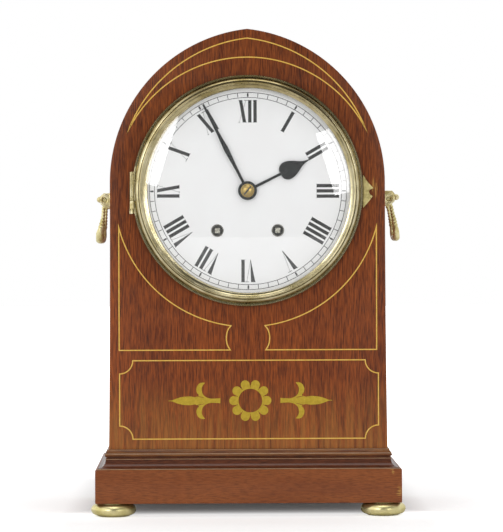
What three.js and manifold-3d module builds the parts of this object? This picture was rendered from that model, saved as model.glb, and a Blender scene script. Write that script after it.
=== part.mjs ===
// Lancet bracket clock: a pointed-arch wooden case on a moulded plinth with brass bun feet, a hinged
// glazed bezel over the dial, a bail on each side and a spring-driven striking movement inside.
// Millimetres, +Z up, front towards -Y, origin on the floor under the middle of the clock.
import * as THREE from 'three';
import { mergeVertices } from 'three/addons/utils/BufferGeometryUtils.js';
import Module from 'manifold-3d';

const wasm = await Module();
wasm.setup();

// ---- Driving dimensions -------------------------------------------------------------------------

// Clearances
const glueGap = 0.05; // between flat faces that are glued or screwed together
const fitGap = 0.3; // round pieces lying in one another
const pivotGap = 0.3; // around an arbor in its hole

// Case
const caseWidth = 205;
const caseDepth = 150; // front of the front board to the back of the back frame
const springHeight = 247; // floor to where the arch begins
const archRadius = 115.5;
const sideThickness = 9;
const frontThickness = 10;
const backThickness = 9;
const arcSegments = 9; // half the facets of each side of the arch

// Plinth, moulding and feet
const plinthOverhang = 10.8; // beyond the case at the front and both sides
const plinthHeight = 24.4;
const plinthThickness = 14;
const mouldingHeight = 14.4;
const baseBoardThickness = 10;
const footHeight = 10.8;
const footRadius = 16;
const footNeckRadius = 10.9;
const footInset = 13.2; // foot's centre in from the plinth's faces

// Back door
const doorMargin = 24; // width of the frame round the door
const doorThickness = 7;
const doorGap = 0.8;
const doorHingeHeight = 24;
const doorHingeSpacing = 130;
const doorLeafWidth = 9;
const leafThickness = 1.2;
const doorBarrelRadius = 1.7;
const doorKnobRadius = 6;
const doorKnobProjection = 8;

// Dial, bezel and glass; f is how far a point stands forward of the case's front face
const dialHeight = 241; // floor to the dial's centre
const dialRimF = -3;
const dialDome = 2;
const dialThickness = 1.8;
const dialEdgeGap = 3; // between the dial's edge and the opening in the front board
const dialCentreHole = 5.5;
const windingHoleRadius = 4.35;
const bezelRadius = 85.6;
const bezelWidth = 9.4;
const bezelLap = 5; // on the front board, outside the opening
const bezelDepth = 7.6;
const bezelRimF = 4; // face of the milled outer rim
const bezelRimWidth = 2.3;
const bezelCrestOut = 5; // outer edge of the crest, in from the bezel's edge
const bezelCrestWidth = 1.4;
const bezelLipF = 4.7; // inner edge, over the glass
const bezelBackF = 0.3;
const glassThickness = 1.4;
const glassRimF = 1.9; // back of the glass's flat rim
const glassDome = 7.6;
const glassRingBackF = -2;
const glassSeatGap = 1.1; // between the glass's seat and the opening in the front board
const hingeHeight = -1.4; // middle of the bezel hinge above the dial's centre
const hingeLength = 31;
const hingeFixedLength = 9.5; // lower knuckle, on the fixed leaf
const hingeBarrelRadius = 1.7;
const hingePinRadius = 0.7;
const hingeF = 2.3;
const tabThickness = 1.2;
const tabReach = 7.5;
const tabTop = 11.3; // above and below the dial's centre
const tabBottom = -13;
const tabNotchIn = 3.5; // between the fishtail's two points

// Hands
const minuteHandLength = 71.5;
const hourHandLength = 51.5;
const handThickness = 0.6;
const hourHandF = -0.2;
const minuteHandF = 1.2;
const minuteBossRadius = 6.8;
const hourBossRadius = 5.6;
const colletRadius = 4.7;
const colletHeight = 2.4;
const minuteHandAngle = -27.1; // clockwise from twelve
const hourHandAngle = 63.5;

// Handles
const handleHeight = 235; // floor to the bail's pivots
const handleSpacing = 62; // between the middles of the two posts
const handlePlateThickness = 1.2;
const postWidth = 8.3; // out from the case
const postHeight = 10.8;
const postLength = 6;
const bailPivotOut = 5;
const bailDrop = 32;
const bailEyeRadius = 3.6;
const bailPinRadius = 1.4;
const bailLegWidth = 5;
const bailCornerReach = 12; // how far each rounded corner runs along the leg and the grip
const bailNeck = 4; // leg's thickness below the eye, seen from the front
const bailGrip = 6; // and at the grip
const bailLean = 1.5; // middle of the grip beyond the pivot

// Movement; w is the height above the dial's centre
const plateHalfWidth = 48;
const plateTop = 58;
const plateBottom = -56;
const plateThickness = 2;
const frontPlateF = -22; // front face of the front plate
const plateSpacing = 40; // clear distance between the plates
const pillarRadius = 3.5;
const pillarInset = 6;
const seatThickness = 12;
const windingOut = 22.4; // winding arbors left and right of the centre
const windingDown = 29.5;
const greatTeeth = 64;
const greatModule = 0.65;
const drumRadius = 18.5;
const barrelArborRadius = 2.6;
const windingSquare = 3.7;
const pivotRadius = 0.6;
const arborRadius = 0.9;
const centreArborRadius = 1;
const cannonRadius = 2.1;
const hourPipeRadius = 3.6;
const wheelThickness = 1.2;
const flyReach = 9;
const studRadius = 1; // carries the minute wheel in front of the front plate
const ratchetRadius = 11;
const greatWheelThickness = 2.5;
const pendulumAxisW = 49;
const pendulumLength = 166; // pivot to the bob's centre
const bobRadius = 20;
const bobThickness = 9;
const rodWidth = 3;
const rodThickness = 2;
const gongF = -110;
const gongHeight = 108;
const gongRadius = 44;
const gongInnerRadius = 12;
const gongTurns = 4;
const gongStripWidth = 3; // front to back
const gongStripThickness = 1.5;
const gongFootWidth = 32;
const gongFootDepth = 16;
const gongFootHeight = 5;
const gongPostWidth = 10;
const gongPostThickness = 7;
const gongPostBack = 8; // post's front face behind the gong's middle
const gongArmWidth = 12;
const gongArmReach = 11;
const hammerX = -44;
const hammerW = -20;
const hammerHeadRadius = 5;
const hammerHeadLength = 14;
const hammerRest = 3; // between the head and the gong
const hammerArmWidth = 3;
const hammerArmThickness = 2;

// ---- Sizes that follow from them ----------------------------------------------------------------

const caseHalf = caseWidth / 2;
const plinthHalf = caseHalf + plinthOverhang;
const plinthTop = footHeight + plinthHeight;
const footOverhang = footRadius - footInset;
const dialHoleRadius = bezelRadius - bezelLap;
const dialRadius = dialHoleRadius - dialEdgeGap;
const bezelInnerRadius = bezelRadius - bezelWidth;
const frontReach = plinthOverhang + footOverhang; // feet stand out beyond the case's front face
const totalDepth = frontReach + caseDepth + doorKnobProjection;
const frontY = frontReach - totalDepth / 2; // case's front face
const backY = frontY + caseDepth;
const arcCentre = archRadius - caseHalf; // each arc's centre lies beyond the middle line
const frontPlateBackF = frontPlateF - plateThickness;
const backPlateF = frontPlateBackF - plateSpacing; // front face of the back plate
const backPlateBackF = backPlateF - plateThickness;

// ---- Materials ----------------------------------------------------------------------------------

function material(color, roughness, metalness) {
  return new THREE.MeshStandardMaterial({ color, roughness, metalness });
}

const mahogany = material('#7a462e', 0.35, 0);
const plinthWood = material('#7c4c33', 0.35, 0);
const insideWood = material('#6b4a33', 0.7, 0);
const brass = material('#b8a468', 0.3, 1);
const steel = material('#8a8d90', 0.35, 1);
const bluedSteel = material('#1e2826', 0.35, 0.8);
const enamel = material('#ecefee', 0.15, 0);
const glass = material('#eef2f0', 0.05, 0);
const iron = material('#2c2c2e', 0.6, 0.6);

// ---- Shape helpers ------------------------------------------------------------------------------

// Signed volume times six of an indexed geometry: negative when its faces point inwards.
function signedVolume(geometry) {
  const points = geometry.attributes.position;
  const index = geometry.index;
  const a = new THREE.Vector3();
  const b = new THREE.Vector3();
  const c = new THREE.Vector3();
  let sum = 0;
  for (let i = 0; i < index.count; i += 3) {
    a.fromBufferAttribute(points, index.getX(i));
    b.fromBufferAttribute(points, index.getX(i + 1));
    c.fromBufferAttribute(points, index.getX(i + 2));
    sum += a.dot(b.cross(c));
  }
  return sum;
}

// Shared vertices, no collapsed triangles, faces outwards.
function tidy(geometry) {
  geometry.deleteAttribute('normal');
  geometry.deleteAttribute('uv');
  const merged = mergeVertices(geometry, 1e-4);
  const kept = [];
  for (let i = 0; i < merged.index.count; i += 3) {
    const [a, b, c] = [0, 1, 2].map((k) => merged.index.getX(i + k));
    if (a !== b && b !== c && c !== a) kept.push(a, b, c);
  }
  merged.setIndex(kept);
  if (signedVolume(merged) < 0) merged.setIndex(kept.reverse());
  return merged;
}

function toSolid(geometry) {
  const clean = tidy(geometry);
  const vertProperties = new Float32Array(clean.attributes.position.array);
  const triVerts = new Uint32Array(clean.index.array);
  return new wasm.Manifold(new wasm.Mesh({ numProp: 3, vertProperties, triVerts }));
}

function toGeometry(solid) {
  const mesh = solid.getMesh();
  const geometry = new THREE.BufferGeometry();
  geometry.setAttribute('position', new THREE.BufferAttribute(mesh.vertProperties, 3));
  geometry.setIndex(new THREE.BufferAttribute(mesh.triVerts, 1));
  return geometry;
}

function join(...geometries) {
  return toGeometry(geometries.map(toSolid).reduce((sum, solid) => sum.add(solid)));
}

function cut(geometry, ...tools) {
  return toGeometry(tools.map(toSolid).reduce((rest, tool) => rest.subtract(tool), toSolid(geometry)));
}

function common(first, second) {
  return toGeometry(toSolid(first).intersect(toSolid(second)));
}

function polygon(points) {
  return new THREE.Shape(points.map(([x, y]) => new THREE.Vector2(x, y)));
}

function circle(radius, x, y, count) {
  const points = [];
  for (let i = 0; i < count; i += 1) {
    const angle = i * 2 * Math.PI / count;
    points.push([x + radius * Math.cos(angle), y + radius * Math.sin(angle)]);
  }
  return polygon(points);
}

// A flat piece seen from the front: the shape's y is up, and it runs from f0 forward to f1.
function slab(shape, f0, f1, curveSegments = 12) {
  const geometry = new THREE.ExtrudeGeometry(shape, { depth: f1 - f0, bevelEnabled: false, curveSegments });
  geometry.rotateX(Math.PI / 2);
  geometry.translate(0, -f0, 0);
  return geometry;
}

// A piece turned about the front-to-back axis, from a profile of (radius, f) points.
function turned(profile, segments) {
  const geometry = new THREE.LatheGeometry(profile.map(([r, f]) => new THREE.Vector2(r, f)), segments);
  geometry.rotateX(Math.PI);
  return tidy(geometry);
}

// A piece turned about a vertical axis, from a profile of (radius, height) points.
function turnedUpright(profile, segments) {
  const geometry = new THREE.LatheGeometry(profile.map(([r, h]) => new THREE.Vector2(r, h)), segments);
  geometry.rotateX(Math.PI / 2);
  return tidy(geometry);
}

// A round bar along the front-to-back axis from f0 forward to f1.
function bar(radius, f0, f1, x = 0, w = 0, segments = 12) {
  const geometry = new THREE.CylinderGeometry(radius, radius, f1 - f0, segments);
  geometry.translate(x, -(f0 + f1) / 2, w);
  return geometry;
}

function uprightBar(radius, low, high, x = 0, y = 0, segments = 12) {
  const geometry = new THREE.CylinderGeometry(radius, radius, high - low, segments);
  geometry.rotateX(Math.PI / 2);
  geometry.translate(x, y, (low + high) / 2);
  return geometry;
}

// A box between two corners.
function box(x0, x1, y0, y1, z0, z1) {
  const geometry = new THREE.BoxGeometry(x1 - x0, y1 - y0, z1 - z0);
  geometry.translate((x0 + x1) / 2, (y0 + y1) / 2, (z0 + z1) / 2);
  return geometry;
}

// A box in the movement's coordinates.
function block(x0, x1, f0, f1, w0, w1) {
  return box(x0, x1, -f1, -f0, w0, w1);
}

const clock = new THREE.Group();

function add(name, geometry, finish, x = 0, y = 0, z = 0) {
  const mesh = new THREE.Mesh(tidy(geometry), finish);
  mesh.name = name;
  mesh.position.set(x, y, z);
  clock.add(mesh);
  return mesh;
}

// Adds a piece drawn about the dial's centre.
function addToDial(name, geometry, finish, x = 0, w = 0) {
  return add(name, geometry, finish, x, frontY, dialHeight + w);
}

// ---- Case ---------------------------------------------------------------------------------------

// Lancet outline, drawn in by inset from the case's outer faces.
function lancet(inset, bottom) {
  const half = caseHalf - inset;
  const radius = archRadius - inset;
  const point = Math.acos(arcCentre / radius);
  const shape = new THREE.Shape();
  shape.moveTo(-half, bottom);
  shape.lineTo(half, bottom);
  shape.lineTo(half, springHeight);
  shape.absarc(-arcCentre, springHeight, radius, 0, point);
  shape.absarc(arcCentre, springHeight, radius, Math.PI - point, Math.PI);
  shape.lineTo(-half, bottom);
  return shape;
}

// Right half of the bent side, from its foot over to the point of the arch.
function halfShell() {
  const inner = archRadius - sideThickness;
  const outerPoint = Math.acos((arcCentre + glueGap) / archRadius);
  const innerPoint = Math.acos((arcCentre + glueGap) / inner);
  const shape = new THREE.Shape();
  shape.moveTo(caseHalf - sideThickness, plinthTop);
  shape.lineTo(caseHalf, plinthTop);
  shape.lineTo(caseHalf, springHeight);
  shape.absarc(-arcCentre, springHeight, archRadius, 0, outerPoint);
  shape.absarc(-arcCentre, springHeight, inner, innerPoint, 0, true);
  shape.lineTo(caseHalf - sideThickness, plinthTop);
  return shape;
}

function buildCase() {
  const hole = circle(dialHoleRadius, 0, dialHeight, 60);
  const front = lancet(0, plinthTop + glueGap);
  front.holes.push(hole);
  const pocketDepth = leafThickness + glueGap;
  const pocketLow = dialHeight + hingeHeight - hingeLength / 2 - glueGap;
  const pocket = box(
    -bezelRadius - hingeBarrelRadius - glueGap, 2 - dialHoleRadius, -1, pocketDepth,
    pocketLow, pocketLow + hingeLength + 2 * glueGap,
  );
  add('front_board', cut(slab(front, -frontThickness, 0, arcSegments), pocket), mahogany, 0, frontY);

  const shellDepth = caseDepth - frontThickness - glueGap;
  const shell = slab(halfShell(), -shellDepth, 0, arcSegments);
  const shellY = frontY + frontThickness + glueGap;
  const mirrored = shell.clone().scale(-1, 1, 1);
  mirrored.translate(0, 0, glueGap);
  shell.translate(0, 0, glueGap);
  add('case_side_right', shell, mahogany, 0, shellY);
  add('case_side_left', mirrored, mahogany, 0, shellY);

  const frame = lancet(sideThickness + fitGap, plinthTop + glueGap);
  frame.holes.push(lancet(sideThickness + doorMargin, plinthTop + doorMargin));
  add('back_frame', slab(frame, -backThickness, 0, arcSegments), mahogany, 0, backY - backThickness);
}

// A strip with its section's x pointing outwards and y up, running along z between two ends; a mitred
// end grows with the outward distance, so that strips meet at forty-five degrees round a corner.
function mitredStrip(section, start, end, mitreStart, mitreEnd, outward) {
  const geometry = new THREE.ExtrudeGeometry(section, { depth: 1, bevelEnabled: false, curveSegments: 5 });
  const points = geometry.attributes.position;
  for (let i = 0; i < points.count; i += 1) {
    const out = points.getX(i);
    const along = points.getZ(i) < 0.5 ? start - mitreStart * out : end + mitreEnd * out;
    points.setZ(i, along);
  }
  const up = new THREE.Vector3(0, 0, 1);
  const run = new THREE.Vector3().crossVectors(outward, up);
  geometry.applyMatrix4(new THREE.Matrix4().makeBasis(outward, up, run));
  return geometry;
}

// Section of the base moulding: quarter round, bead, quirk and a cove sweeping out to the plinth.
function mouldingSection() {
  const top = mouldingHeight;
  const reach = plinthOverhang - 1.8;
  const shape = new THREE.Shape();
  shape.moveTo(glueGap, glueGap);
  shape.lineTo(reach, glueGap);
  shape.lineTo(reach - 1.7, 1.2);
  shape.lineTo(reach - 2.1, 2);
  shape.quadraticCurveTo(2.6, 4.2, 1.8, 7.4);
  shape.lineTo(2.4, 8.6);
  shape.lineTo(2.9, 9.6);
  shape.lineTo(2.8, top - 3);
  shape.lineTo(1.5, top - 1.8);
  shape.lineTo(1.3, top - 0.6);
  shape.lineTo(glueGap, top);
  return shape;
}

function buildBase() {
  const front = new THREE.Vector3(0, -1, 0);
  const right = new THREE.Vector3(1, 0, 0);
  const left = new THREE.Vector3(-1, 0, 0);
  const back = new THREE.Vector3(0, 1, 0);

  const moulding = mouldingSection();
  add('base_moulding_front', mitredStrip(moulding, glueGap - caseHalf, caseHalf - glueGap, 1, 1, front),
    mahogany, 0, frontY, plinthTop);
  add('base_moulding_right', mitredStrip(moulding, -backY, -frontY - glueGap, 0, 1, right),
    mahogany, caseHalf, 0, plinthTop);
  add('base_moulding_left', mitredStrip(moulding, frontY + glueGap, backY, 1, 0, left),
    mahogany, -caseHalf, 0, plinthTop);

  const inner = plinthOverhang - plinthThickness;
  const board = polygon([
    [inner, footHeight], [plinthOverhang, footHeight], [plinthOverhang, plinthTop], [inner, plinthTop],
  ]);
  const flushBoard = polygon([
    [-plinthThickness, footHeight], [0, footHeight], [0, plinthTop], [-plinthThickness, plinthTop],
  ]);
  add('plinth_front', mitredStrip(board, glueGap - caseHalf, caseHalf - glueGap, 1, 1, front),
    plinthWood, 0, frontY);
  add('plinth_right', mitredStrip(board, -backY, -frontY - glueGap, 0, 1, right), plinthWood, caseHalf);
  add('plinth_left', mitredStrip(board, frontY + glueGap, backY, 1, 0, left), plinthWood, -caseHalf);
  const innerHalf = plinthHalf - plinthThickness - glueGap;
  add('plinth_back', mitredStrip(flushBoard, -innerHalf, innerHalf, 0, 0, back), plinthWood, 0, backY);

  const baseLow = plinthTop - baseBoardThickness;
  const baseFront = frontY - plinthOverhang + plinthThickness + glueGap;
  add('base_board', box(
    -innerHalf, innerHalf, baseFront, backY - plinthThickness - glueGap, baseLow, plinthTop - glueGap,
  ), insideWood);

  const bun = [
    [0, 0], [10.4, 0], [14.4, 1.6], [footRadius, 4.4], [14.6, 7], [11.6, 8.6],
    [footNeckRadius, footHeight - glueGap], [0, footHeight - glueGap],
  ];
  const footX = plinthHalf - footInset;
  const footFrontY = frontY - plinthOverhang + footInset;
  const footBackY = backY - footInset;
  const feet = { foot_front_left: [-1, footFrontY], foot_front_right: [1, footFrontY],
    foot_back_left: [-1, footBackY], foot_back_right: [1, footBackY] };
  for (const [name, [side, y]] of Object.entries(feet)) {
    add(name, turnedUpright(bun, 20), brass, side * footX, y);
  }
}

// ---- Back door ----------------------------------------------------------------------------------

function buildBackDoor() {
  const inset = sideThickness + doorMargin + doorGap;
  const door = lancet(inset, plinthTop + doorMargin + doorGap);
  add('back_door', slab(door, -doorThickness, 0, arcSegments), mahogany, 0, backY - doorThickness);

  const edge = caseHalf - sideThickness - doorMargin; // side of the door's opening
  const axisX = -(edge - doorGap / 2);
  const axisY = backY + doorBarrelRadius + glueGap;
  const middle = (plinthTop + springHeight) / 2;
  const third = doorHingeHeight / 3;
  for (const [end, side] of [['lower', -1], ['upper', 1]]) {
    const low = middle + side * doorHingeSpacing / 2 - doorHingeHeight / 2;
    const barrel = uprightBar(doorBarrelRadius, low, low + doorHingeHeight, axisX, axisY);
    const reach = 2 * doorBarrelRadius;
    const band = box(axisX - reach, axisX + reach, axisY - reach, axisY + reach,
      low + third - fitGap / 2, low + 2 * third + fitGap / 2);
    const leafFace = [backY + glueGap, backY + glueGap + leafThickness];
    const frameLeaf = box(axisX - doorLeafWidth, axisX, ...leafFace, low, low + doorHingeHeight);
    const clear = box(axisX - doorBarrelRadius - fitGap, axisX + reach, axisY - reach, axisY + reach,
      low + third - fitGap / 2, low + 2 * third + fitGap / 2);
    const pin = uprightBar(hingePinRadius, low, low + doorHingeHeight, axisX, axisY);
    add(`door_hinge_${end}_frame_leaf`, join(cut(join(frameLeaf, cut(barrel, band)), clear), pin), brass);

    const doorLeaf = box(axisX + doorBarrelRadius + fitGap, axisX + doorLeafWidth, ...leafFace,
      low, low + doorHingeHeight);
    const knuckle = uprightBar(doorBarrelRadius, low + third, low + 2 * third, axisX, axisY);
    const arm = box(axisX, axisX + doorLeafWidth, ...leafFace, low + third, low + 2 * third);
    const bore = uprightBar(hingePinRadius + 0.12, low, low + doorHingeHeight, axisX, axisY);
    add(`door_hinge_${end}_door_leaf`, cut(join(doorLeaf, knuckle, arm), bore), brass);
  }

  const knobX = edge - doorGap - 12;
  const knob = [
    [0, glueGap], [3, glueGap], [2.6, 3], [doorKnobRadius, 4.6], [doorKnobRadius, 6.4],
    [3.6, doorKnobProjection], [0, doorKnobProjection],
  ];
  const knobGeometry = turned(knob, 20).rotateX(Math.PI);
  add('back_door_knob', knobGeometry, brass, knobX, backY, middle);
}

// ---- Handles ------------------------------------------------------------------------------------

// The plate with its two eyed posts; side is 1 on the right and -1 on the left.
function handlePlate(side) {
  const halfPost = postHeight / 2;
  const chamfer = 2.6;
  const post = polygon([
    [glueGap, -halfPost], [postWidth - chamfer, -halfPost], [postWidth, chamfer - halfPost],
    [postWidth + 1, -1], [postWidth + 1, 1.4], [postWidth, halfPost - chamfer],
    [postWidth - chamfer, halfPost], [glueGap, halfPost],
  ].map(([out, w]) => [side * out, w]));
  post.holes.push(circle(bailPinRadius + pivotGap, side * bailPivotOut, 0, 10));
  const plateLength = handleSpacing + postLength + 8;
  const inner = side * glueGap;
  const outer = side * (glueGap + handlePlateThickness);
  const plate = box(Math.min(inner, outer), Math.max(inner, outer),
    -plateLength / 2, plateLength / 2, -halfPost, halfPost);
  const posts = [-1, 1].map((end) => {
    const middle = end * handleSpacing / 2;
    return slab(post, -postLength / 2, postLength / 2, 5).translate(0, middle, 0);
  });
  return join(plate, ...posts);
}

// The bail hangs between the posts: a U seen from the side, flaring towards the grip seen from the front.
function handleBail(side) {
  const outerHalf = handleSpacing / 2 - postLength / 2 - fitGap;
  const innerHalf = outerHalf - bailLegWidth;
  const turn = bailCornerReach;
  const u = new THREE.Shape();
  u.moveTo(outerHalf, bailEyeRadius);
  u.lineTo(innerHalf, bailEyeRadius);
  u.lineTo(innerHalf, turn - bailDrop);
  u.quadraticCurveTo(innerHalf, bailLegWidth - bailDrop, innerHalf - turn, bailLegWidth - bailDrop);
  u.lineTo(turn - innerHalf, bailLegWidth - bailDrop);
  u.quadraticCurveTo(-innerHalf, bailLegWidth - bailDrop, -innerHalf, turn - bailDrop);
  u.lineTo(-innerHalf, bailEyeRadius);
  u.lineTo(-outerHalf, bailEyeRadius);
  u.lineTo(-outerHalf, turn - bailDrop);
  u.quadraticCurveTo(-outerHalf, -bailDrop, -innerHalf, -bailDrop);
  u.lineTo(innerHalf, -bailDrop);
  u.quadraticCurveTo(outerHalf, -bailDrop, outerHalf, turn - bailDrop);
  const reach = 2 * (postWidth + bailGrip);
  const sideView = new THREE.ExtrudeGeometry(u, { depth: 2 * reach, bevelEnabled: false, curveSegments: 3 });
  sideView.translate(0, 0, -reach);
  sideView.rotateX(Math.PI / 2);
  sideView.rotateZ(Math.PI / 2);

  const profile = new THREE.Shape();
  const gripOut = bailPivotOut + bailLean + bailGrip / 2;
  const gripIn = gripOut - bailGrip;
  const neckOut = bailPivotOut + bailNeck / 2;
  profile.moveTo(neckOut - bailNeck, -0.88 * bailEyeRadius);
  profile.absarc(bailPivotOut, 0, bailEyeRadius, 1.35 * Math.PI, -0.32 * Math.PI, true);
  profile.quadraticCurveTo(neckOut, -0.4 * bailDrop, gripOut - 0.8, -0.62 * bailDrop);
  profile.quadraticCurveTo(gripOut + 0.4, -0.82 * bailDrop, gripOut, 1 - bailDrop);
  profile.lineTo(gripOut - 0.8, -bailDrop);
  profile.lineTo(gripIn + 1, -bailDrop);
  profile.lineTo(gripIn, -0.82 * bailDrop);
  profile.quadraticCurveTo(gripIn + 1.4, -0.6 * bailDrop, neckOut - bailNeck, -0.28 * bailDrop);
  const frontView = slab(profile, -outerHalf - 1, outerHalf + 1, 3);
  frontView.scale(side, 1, 1);
  const pinEnd = handleSpacing / 2 + postLength / 2 - 1.5;
  const pin = bar(bailPinRadius, -pinEnd, pinEnd, side * bailPivotOut);
  const middle = box(-reach, reach, -innerHalf, innerHalf, -bailPinRadius - 1, bailPinRadius + 1);
  return join(common(sideView, frontView), cut(pin, middle));
}

function buildHandles() {
  const middleY = frontY + caseDepth / 2;
  for (const [name, side] of [['left', -1], ['right', 1]]) {
    add(`handle_plate_${name}`, handlePlate(side), brass, side * caseHalf, middleY, handleHeight);
    add(`handle_bail_${name}`, handleBail(side), brass, side * caseHalf, middleY, handleHeight);
  }
}

// ---- Bezel, glass and dial ----------------------------------------------------------------------

function buildBezel() {
  const axisX = -bezelRadius;
  const low = hingeHeight - hingeLength / 2;
  const high = low + hingeLength;
  const parting = low + hingeFixedLength;
  const glassSeatF = glassRimF + glassThickness + fitGap;
  const seatRadius = dialHoleRadius - glassSeatGap;
  const crest = bezelRadius - bezelCrestOut;
  const rimFoot = bezelRadius - bezelRimWidth - 0.7;
  const ring = turned([
    [seatRadius, bezelBackF], [bezelRadius, bezelBackF], [bezelRadius, bezelRimF - 0.8],
    [bezelRadius - 0.9, bezelRimF], [bezelRadius - bezelRimWidth, bezelRimF], [rimFoot, bezelRimF - 0.9],
    [(rimFoot + crest) / 2 + 0.4, (bezelRimF + bezelDepth) / 2 - 0.6], [crest, bezelDepth],
    [crest - bezelCrestWidth, bezelDepth], [bezelInnerRadius + 0.8, bezelLipF + 0.5],
    [bezelInnerRadius, bezelLipF], [bezelInnerRadius, glassSeatF], [seatRadius, glassSeatF],
    [seatRadius, bezelBackF],
  ], 60);
  const notchX = axisX + hingeBarrelRadius + fitGap;
  const notch = block(axisX - 5, notchX, -1, bezelDepth + 1, low - fitGap, high + fitGap);
  const knuckle = uprightBar(hingeBarrelRadius, parting + fitGap / 2, high, axisX, -hingeF);
  const web = block(axisX, notchX + 1.5, hingeF - 0.8, hingeF + 0.8, parting + fitGap / 2, high);
  const bore = uprightBar(hingePinRadius + 0.12, low, high + 1, axisX, -hingeF);
  addToDial('bezel_ring', cut(join(cut(ring, notch), knuckle, web), bore), brass);

  const leafInnerX = -dialHoleRadius - glueGap;
  const leaf = block(axisX - hingeBarrelRadius, leafInnerX, -leafThickness, -glueGap, low, high);
  const post = block(axisX - hingeBarrelRadius, axisX, -leafThickness, hingeF, low, parting - fitGap / 2);
  const barrel = uprightBar(hingeBarrelRadius, low, parting - fitGap / 2, axisX, -hingeF);
  addToDial('bezel_hinge_leaf', cut(join(leaf, post, barrel), uprightBar(
    hingePinRadius + 0.12, low - 1, high, axisX, -hingeF)), brass);
  addToDial('bezel_hinge_pin', uprightBar(hingePinRadius, low, high, axisX, -hingeF), brass);

  const glassRadius = seatRadius - fitGap;
  const flatRadius = bezelInnerRadius - fitGap;
  const domeAt = (share) => glassRimF + glassDome * (1 - share * share);
  const shares = [0, 0.45, 0.75, 1];
  const back = shares.map((share) => [share * flatRadius, domeAt(share)]);
  const face = shares.map((share) => [share * flatRadius, domeAt(share) + glassThickness]);
  addToDial('bezel_glass', turned([
    ...back, [glassRadius, glassRimF], [glassRadius, glassRimF + glassThickness], ...face.reverse(),
  ], 48), glass);

  const ringInner = bezelInnerRadius + 0.2;
  addToDial('glass_ring', turned([
    [ringInner, glassRingBackF], [glassRadius, glassRingBackF], [glassRadius, glassRimF - fitGap],
    [ringInner, glassRimF - fitGap], [ringInner, glassRingBackF],
  ], 48), brass);

  const tabEdge = bezelRadius + fitGap;
  const tab = polygon([
    [0, tabTop], [tabReach, 1.5], [tabReach - tabNotchIn, -1.1], [tabReach - 0.6, -4.5], [0, tabBottom],
    [0.9, tabBottom / 2], [1, 0], [0.7, tabTop / 2],
  ].map(([out, w]) => [Math.max(tabEdge + out, Math.sqrt(tabEdge ** 2 - w ** 2)), w]));
  addToDial('bezel_tab', slab(tab, bezelBackF, bezelBackF + tabThickness), brass);
}

function buildDial() {
  const frontAt = (r) => dialRimF + dialDome * (1 - (r / dialRadius) ** 2);
  const backF = dialRimF - dialThickness;
  const plate = turned([
    [dialCentreHole, backF], [dialRadius, backF], [dialRadius, dialRimF],
    ...[2 / 3, 1 / 3].map((share) => [share * dialRadius, frontAt(share * dialRadius)]),
    [dialCentreHole, frontAt(dialCentreHole)], [dialCentreHole, backF],
  ], 60);
  const holes = [-1, 1].map((side) => (
    bar(windingHoleRadius, backF - 1, 1, side * windingOut, -windingDown, 20)));
  const footF = frontPlateF + glueGap;
  const feet = [[-38, 30], [38, 30], [0, -50]].map(([x, w]) => bar(1.5, footF, backF + 0.5, x, w, 8));
  addToDial('dial', join(cut(plate, ...holes), ...feet), enamel);
}

// ---- Hands --------------------------------------------------------------------------------------

function turnClockwise(geometry, degrees) {
  return geometry.rotateY(THREE.MathUtils.degToRad(degrees));
}

function buildHands() {
  const minute = new THREE.Shape();
  minute.moveTo(0.85, 4);
  minute.lineTo(1.55, minuteHandLength * 0.48);
  minute.lineTo(0.65, minuteHandLength);
  minute.lineTo(-0.65, minuteHandLength);
  minute.lineTo(-1.55, minuteHandLength * 0.48);
  minute.lineTo(-0.85, 4);
  const bore = bar(cannonRadius + pivotGap / 2, -5, 5, 0, 0, 20);
  const minuteTop = minuteHandF + handThickness;
  const minuteSolid = join(
    slab(minute, minuteHandF, minuteTop), bar(minuteBossRadius, minuteHandF, minuteTop, 0, 0, 28),
  );
  addToDial('minute_hand', turnClockwise(cut(minuteSolid, bore), minuteHandAngle), bluedSteel);

  const bulbAt = 33;
  const hour = new THREE.Shape();
  hour.moveTo(1.5, 4);
  hour.lineTo(1.2, bulbAt - 7);
  hour.quadraticCurveTo(6.4, bulbAt - 5.5, 6.3, bulbAt);
  hour.quadraticCurveTo(6, bulbAt + 4.5, 1.8, bulbAt + 7.2);
  hour.lineTo(0.8, bulbAt + 10);
  hour.lineTo(0.3, hourHandLength);
  hour.lineTo(-0.3, hourHandLength);
  hour.lineTo(-0.8, bulbAt + 10);
  hour.lineTo(-1.8, bulbAt + 7.2);
  hour.quadraticCurveTo(-6, bulbAt + 4.5, -6.3, bulbAt);
  hour.quadraticCurveTo(-6.4, bulbAt - 5.5, -1.2, bulbAt - 7);
  hour.lineTo(-1.5, 4);
  const hourBore = bar(hourPipeRadius + 0.1, -5, 5, 0, 0, 20);
  const hourTop = hourHandF + handThickness;
  const hourSolid = join(
    slab(hour, hourHandF, hourTop, 4), bar(hourBossRadius, hourHandF, hourTop, 0, 0, 20),
  );
  addToDial('hour_hand', turnClockwise(cut(hourSolid, hourBore), hourHandAngle), bluedSteel);

  const seat = minuteHandF + handThickness + glueGap;
  addToDial('hand_collet', turned([
    [0, seat], [colletRadius, seat], [colletRadius, seat + 0.8], [3.4, seat + colletHeight - 0.3],
    [2.4, seat + colletHeight], [0, seat + colletHeight],
  ], 24), brass);
}

// ---- Wheels -------------------------------------------------------------------------------------

// Toothed outline with pointed teeth: two points for each tooth.
function toothed(teeth, module, phase, addendum = 0.75) {
  const pitch = teeth * module / 2;
  const tip = pitch + addendum * module;
  const root = pitch - 1.15 * module;
  const points = [];
  for (let i = 0; i < teeth; i += 1) {
    const middle = phase + i * 2 * Math.PI / teeth;
    const gap = middle + Math.PI / teeth;
    points.push([tip * Math.cos(middle), tip * Math.sin(middle)]);
    points.push([root * Math.cos(gap), root * Math.sin(gap)]);
  }
  return polygon(points);
}

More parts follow.
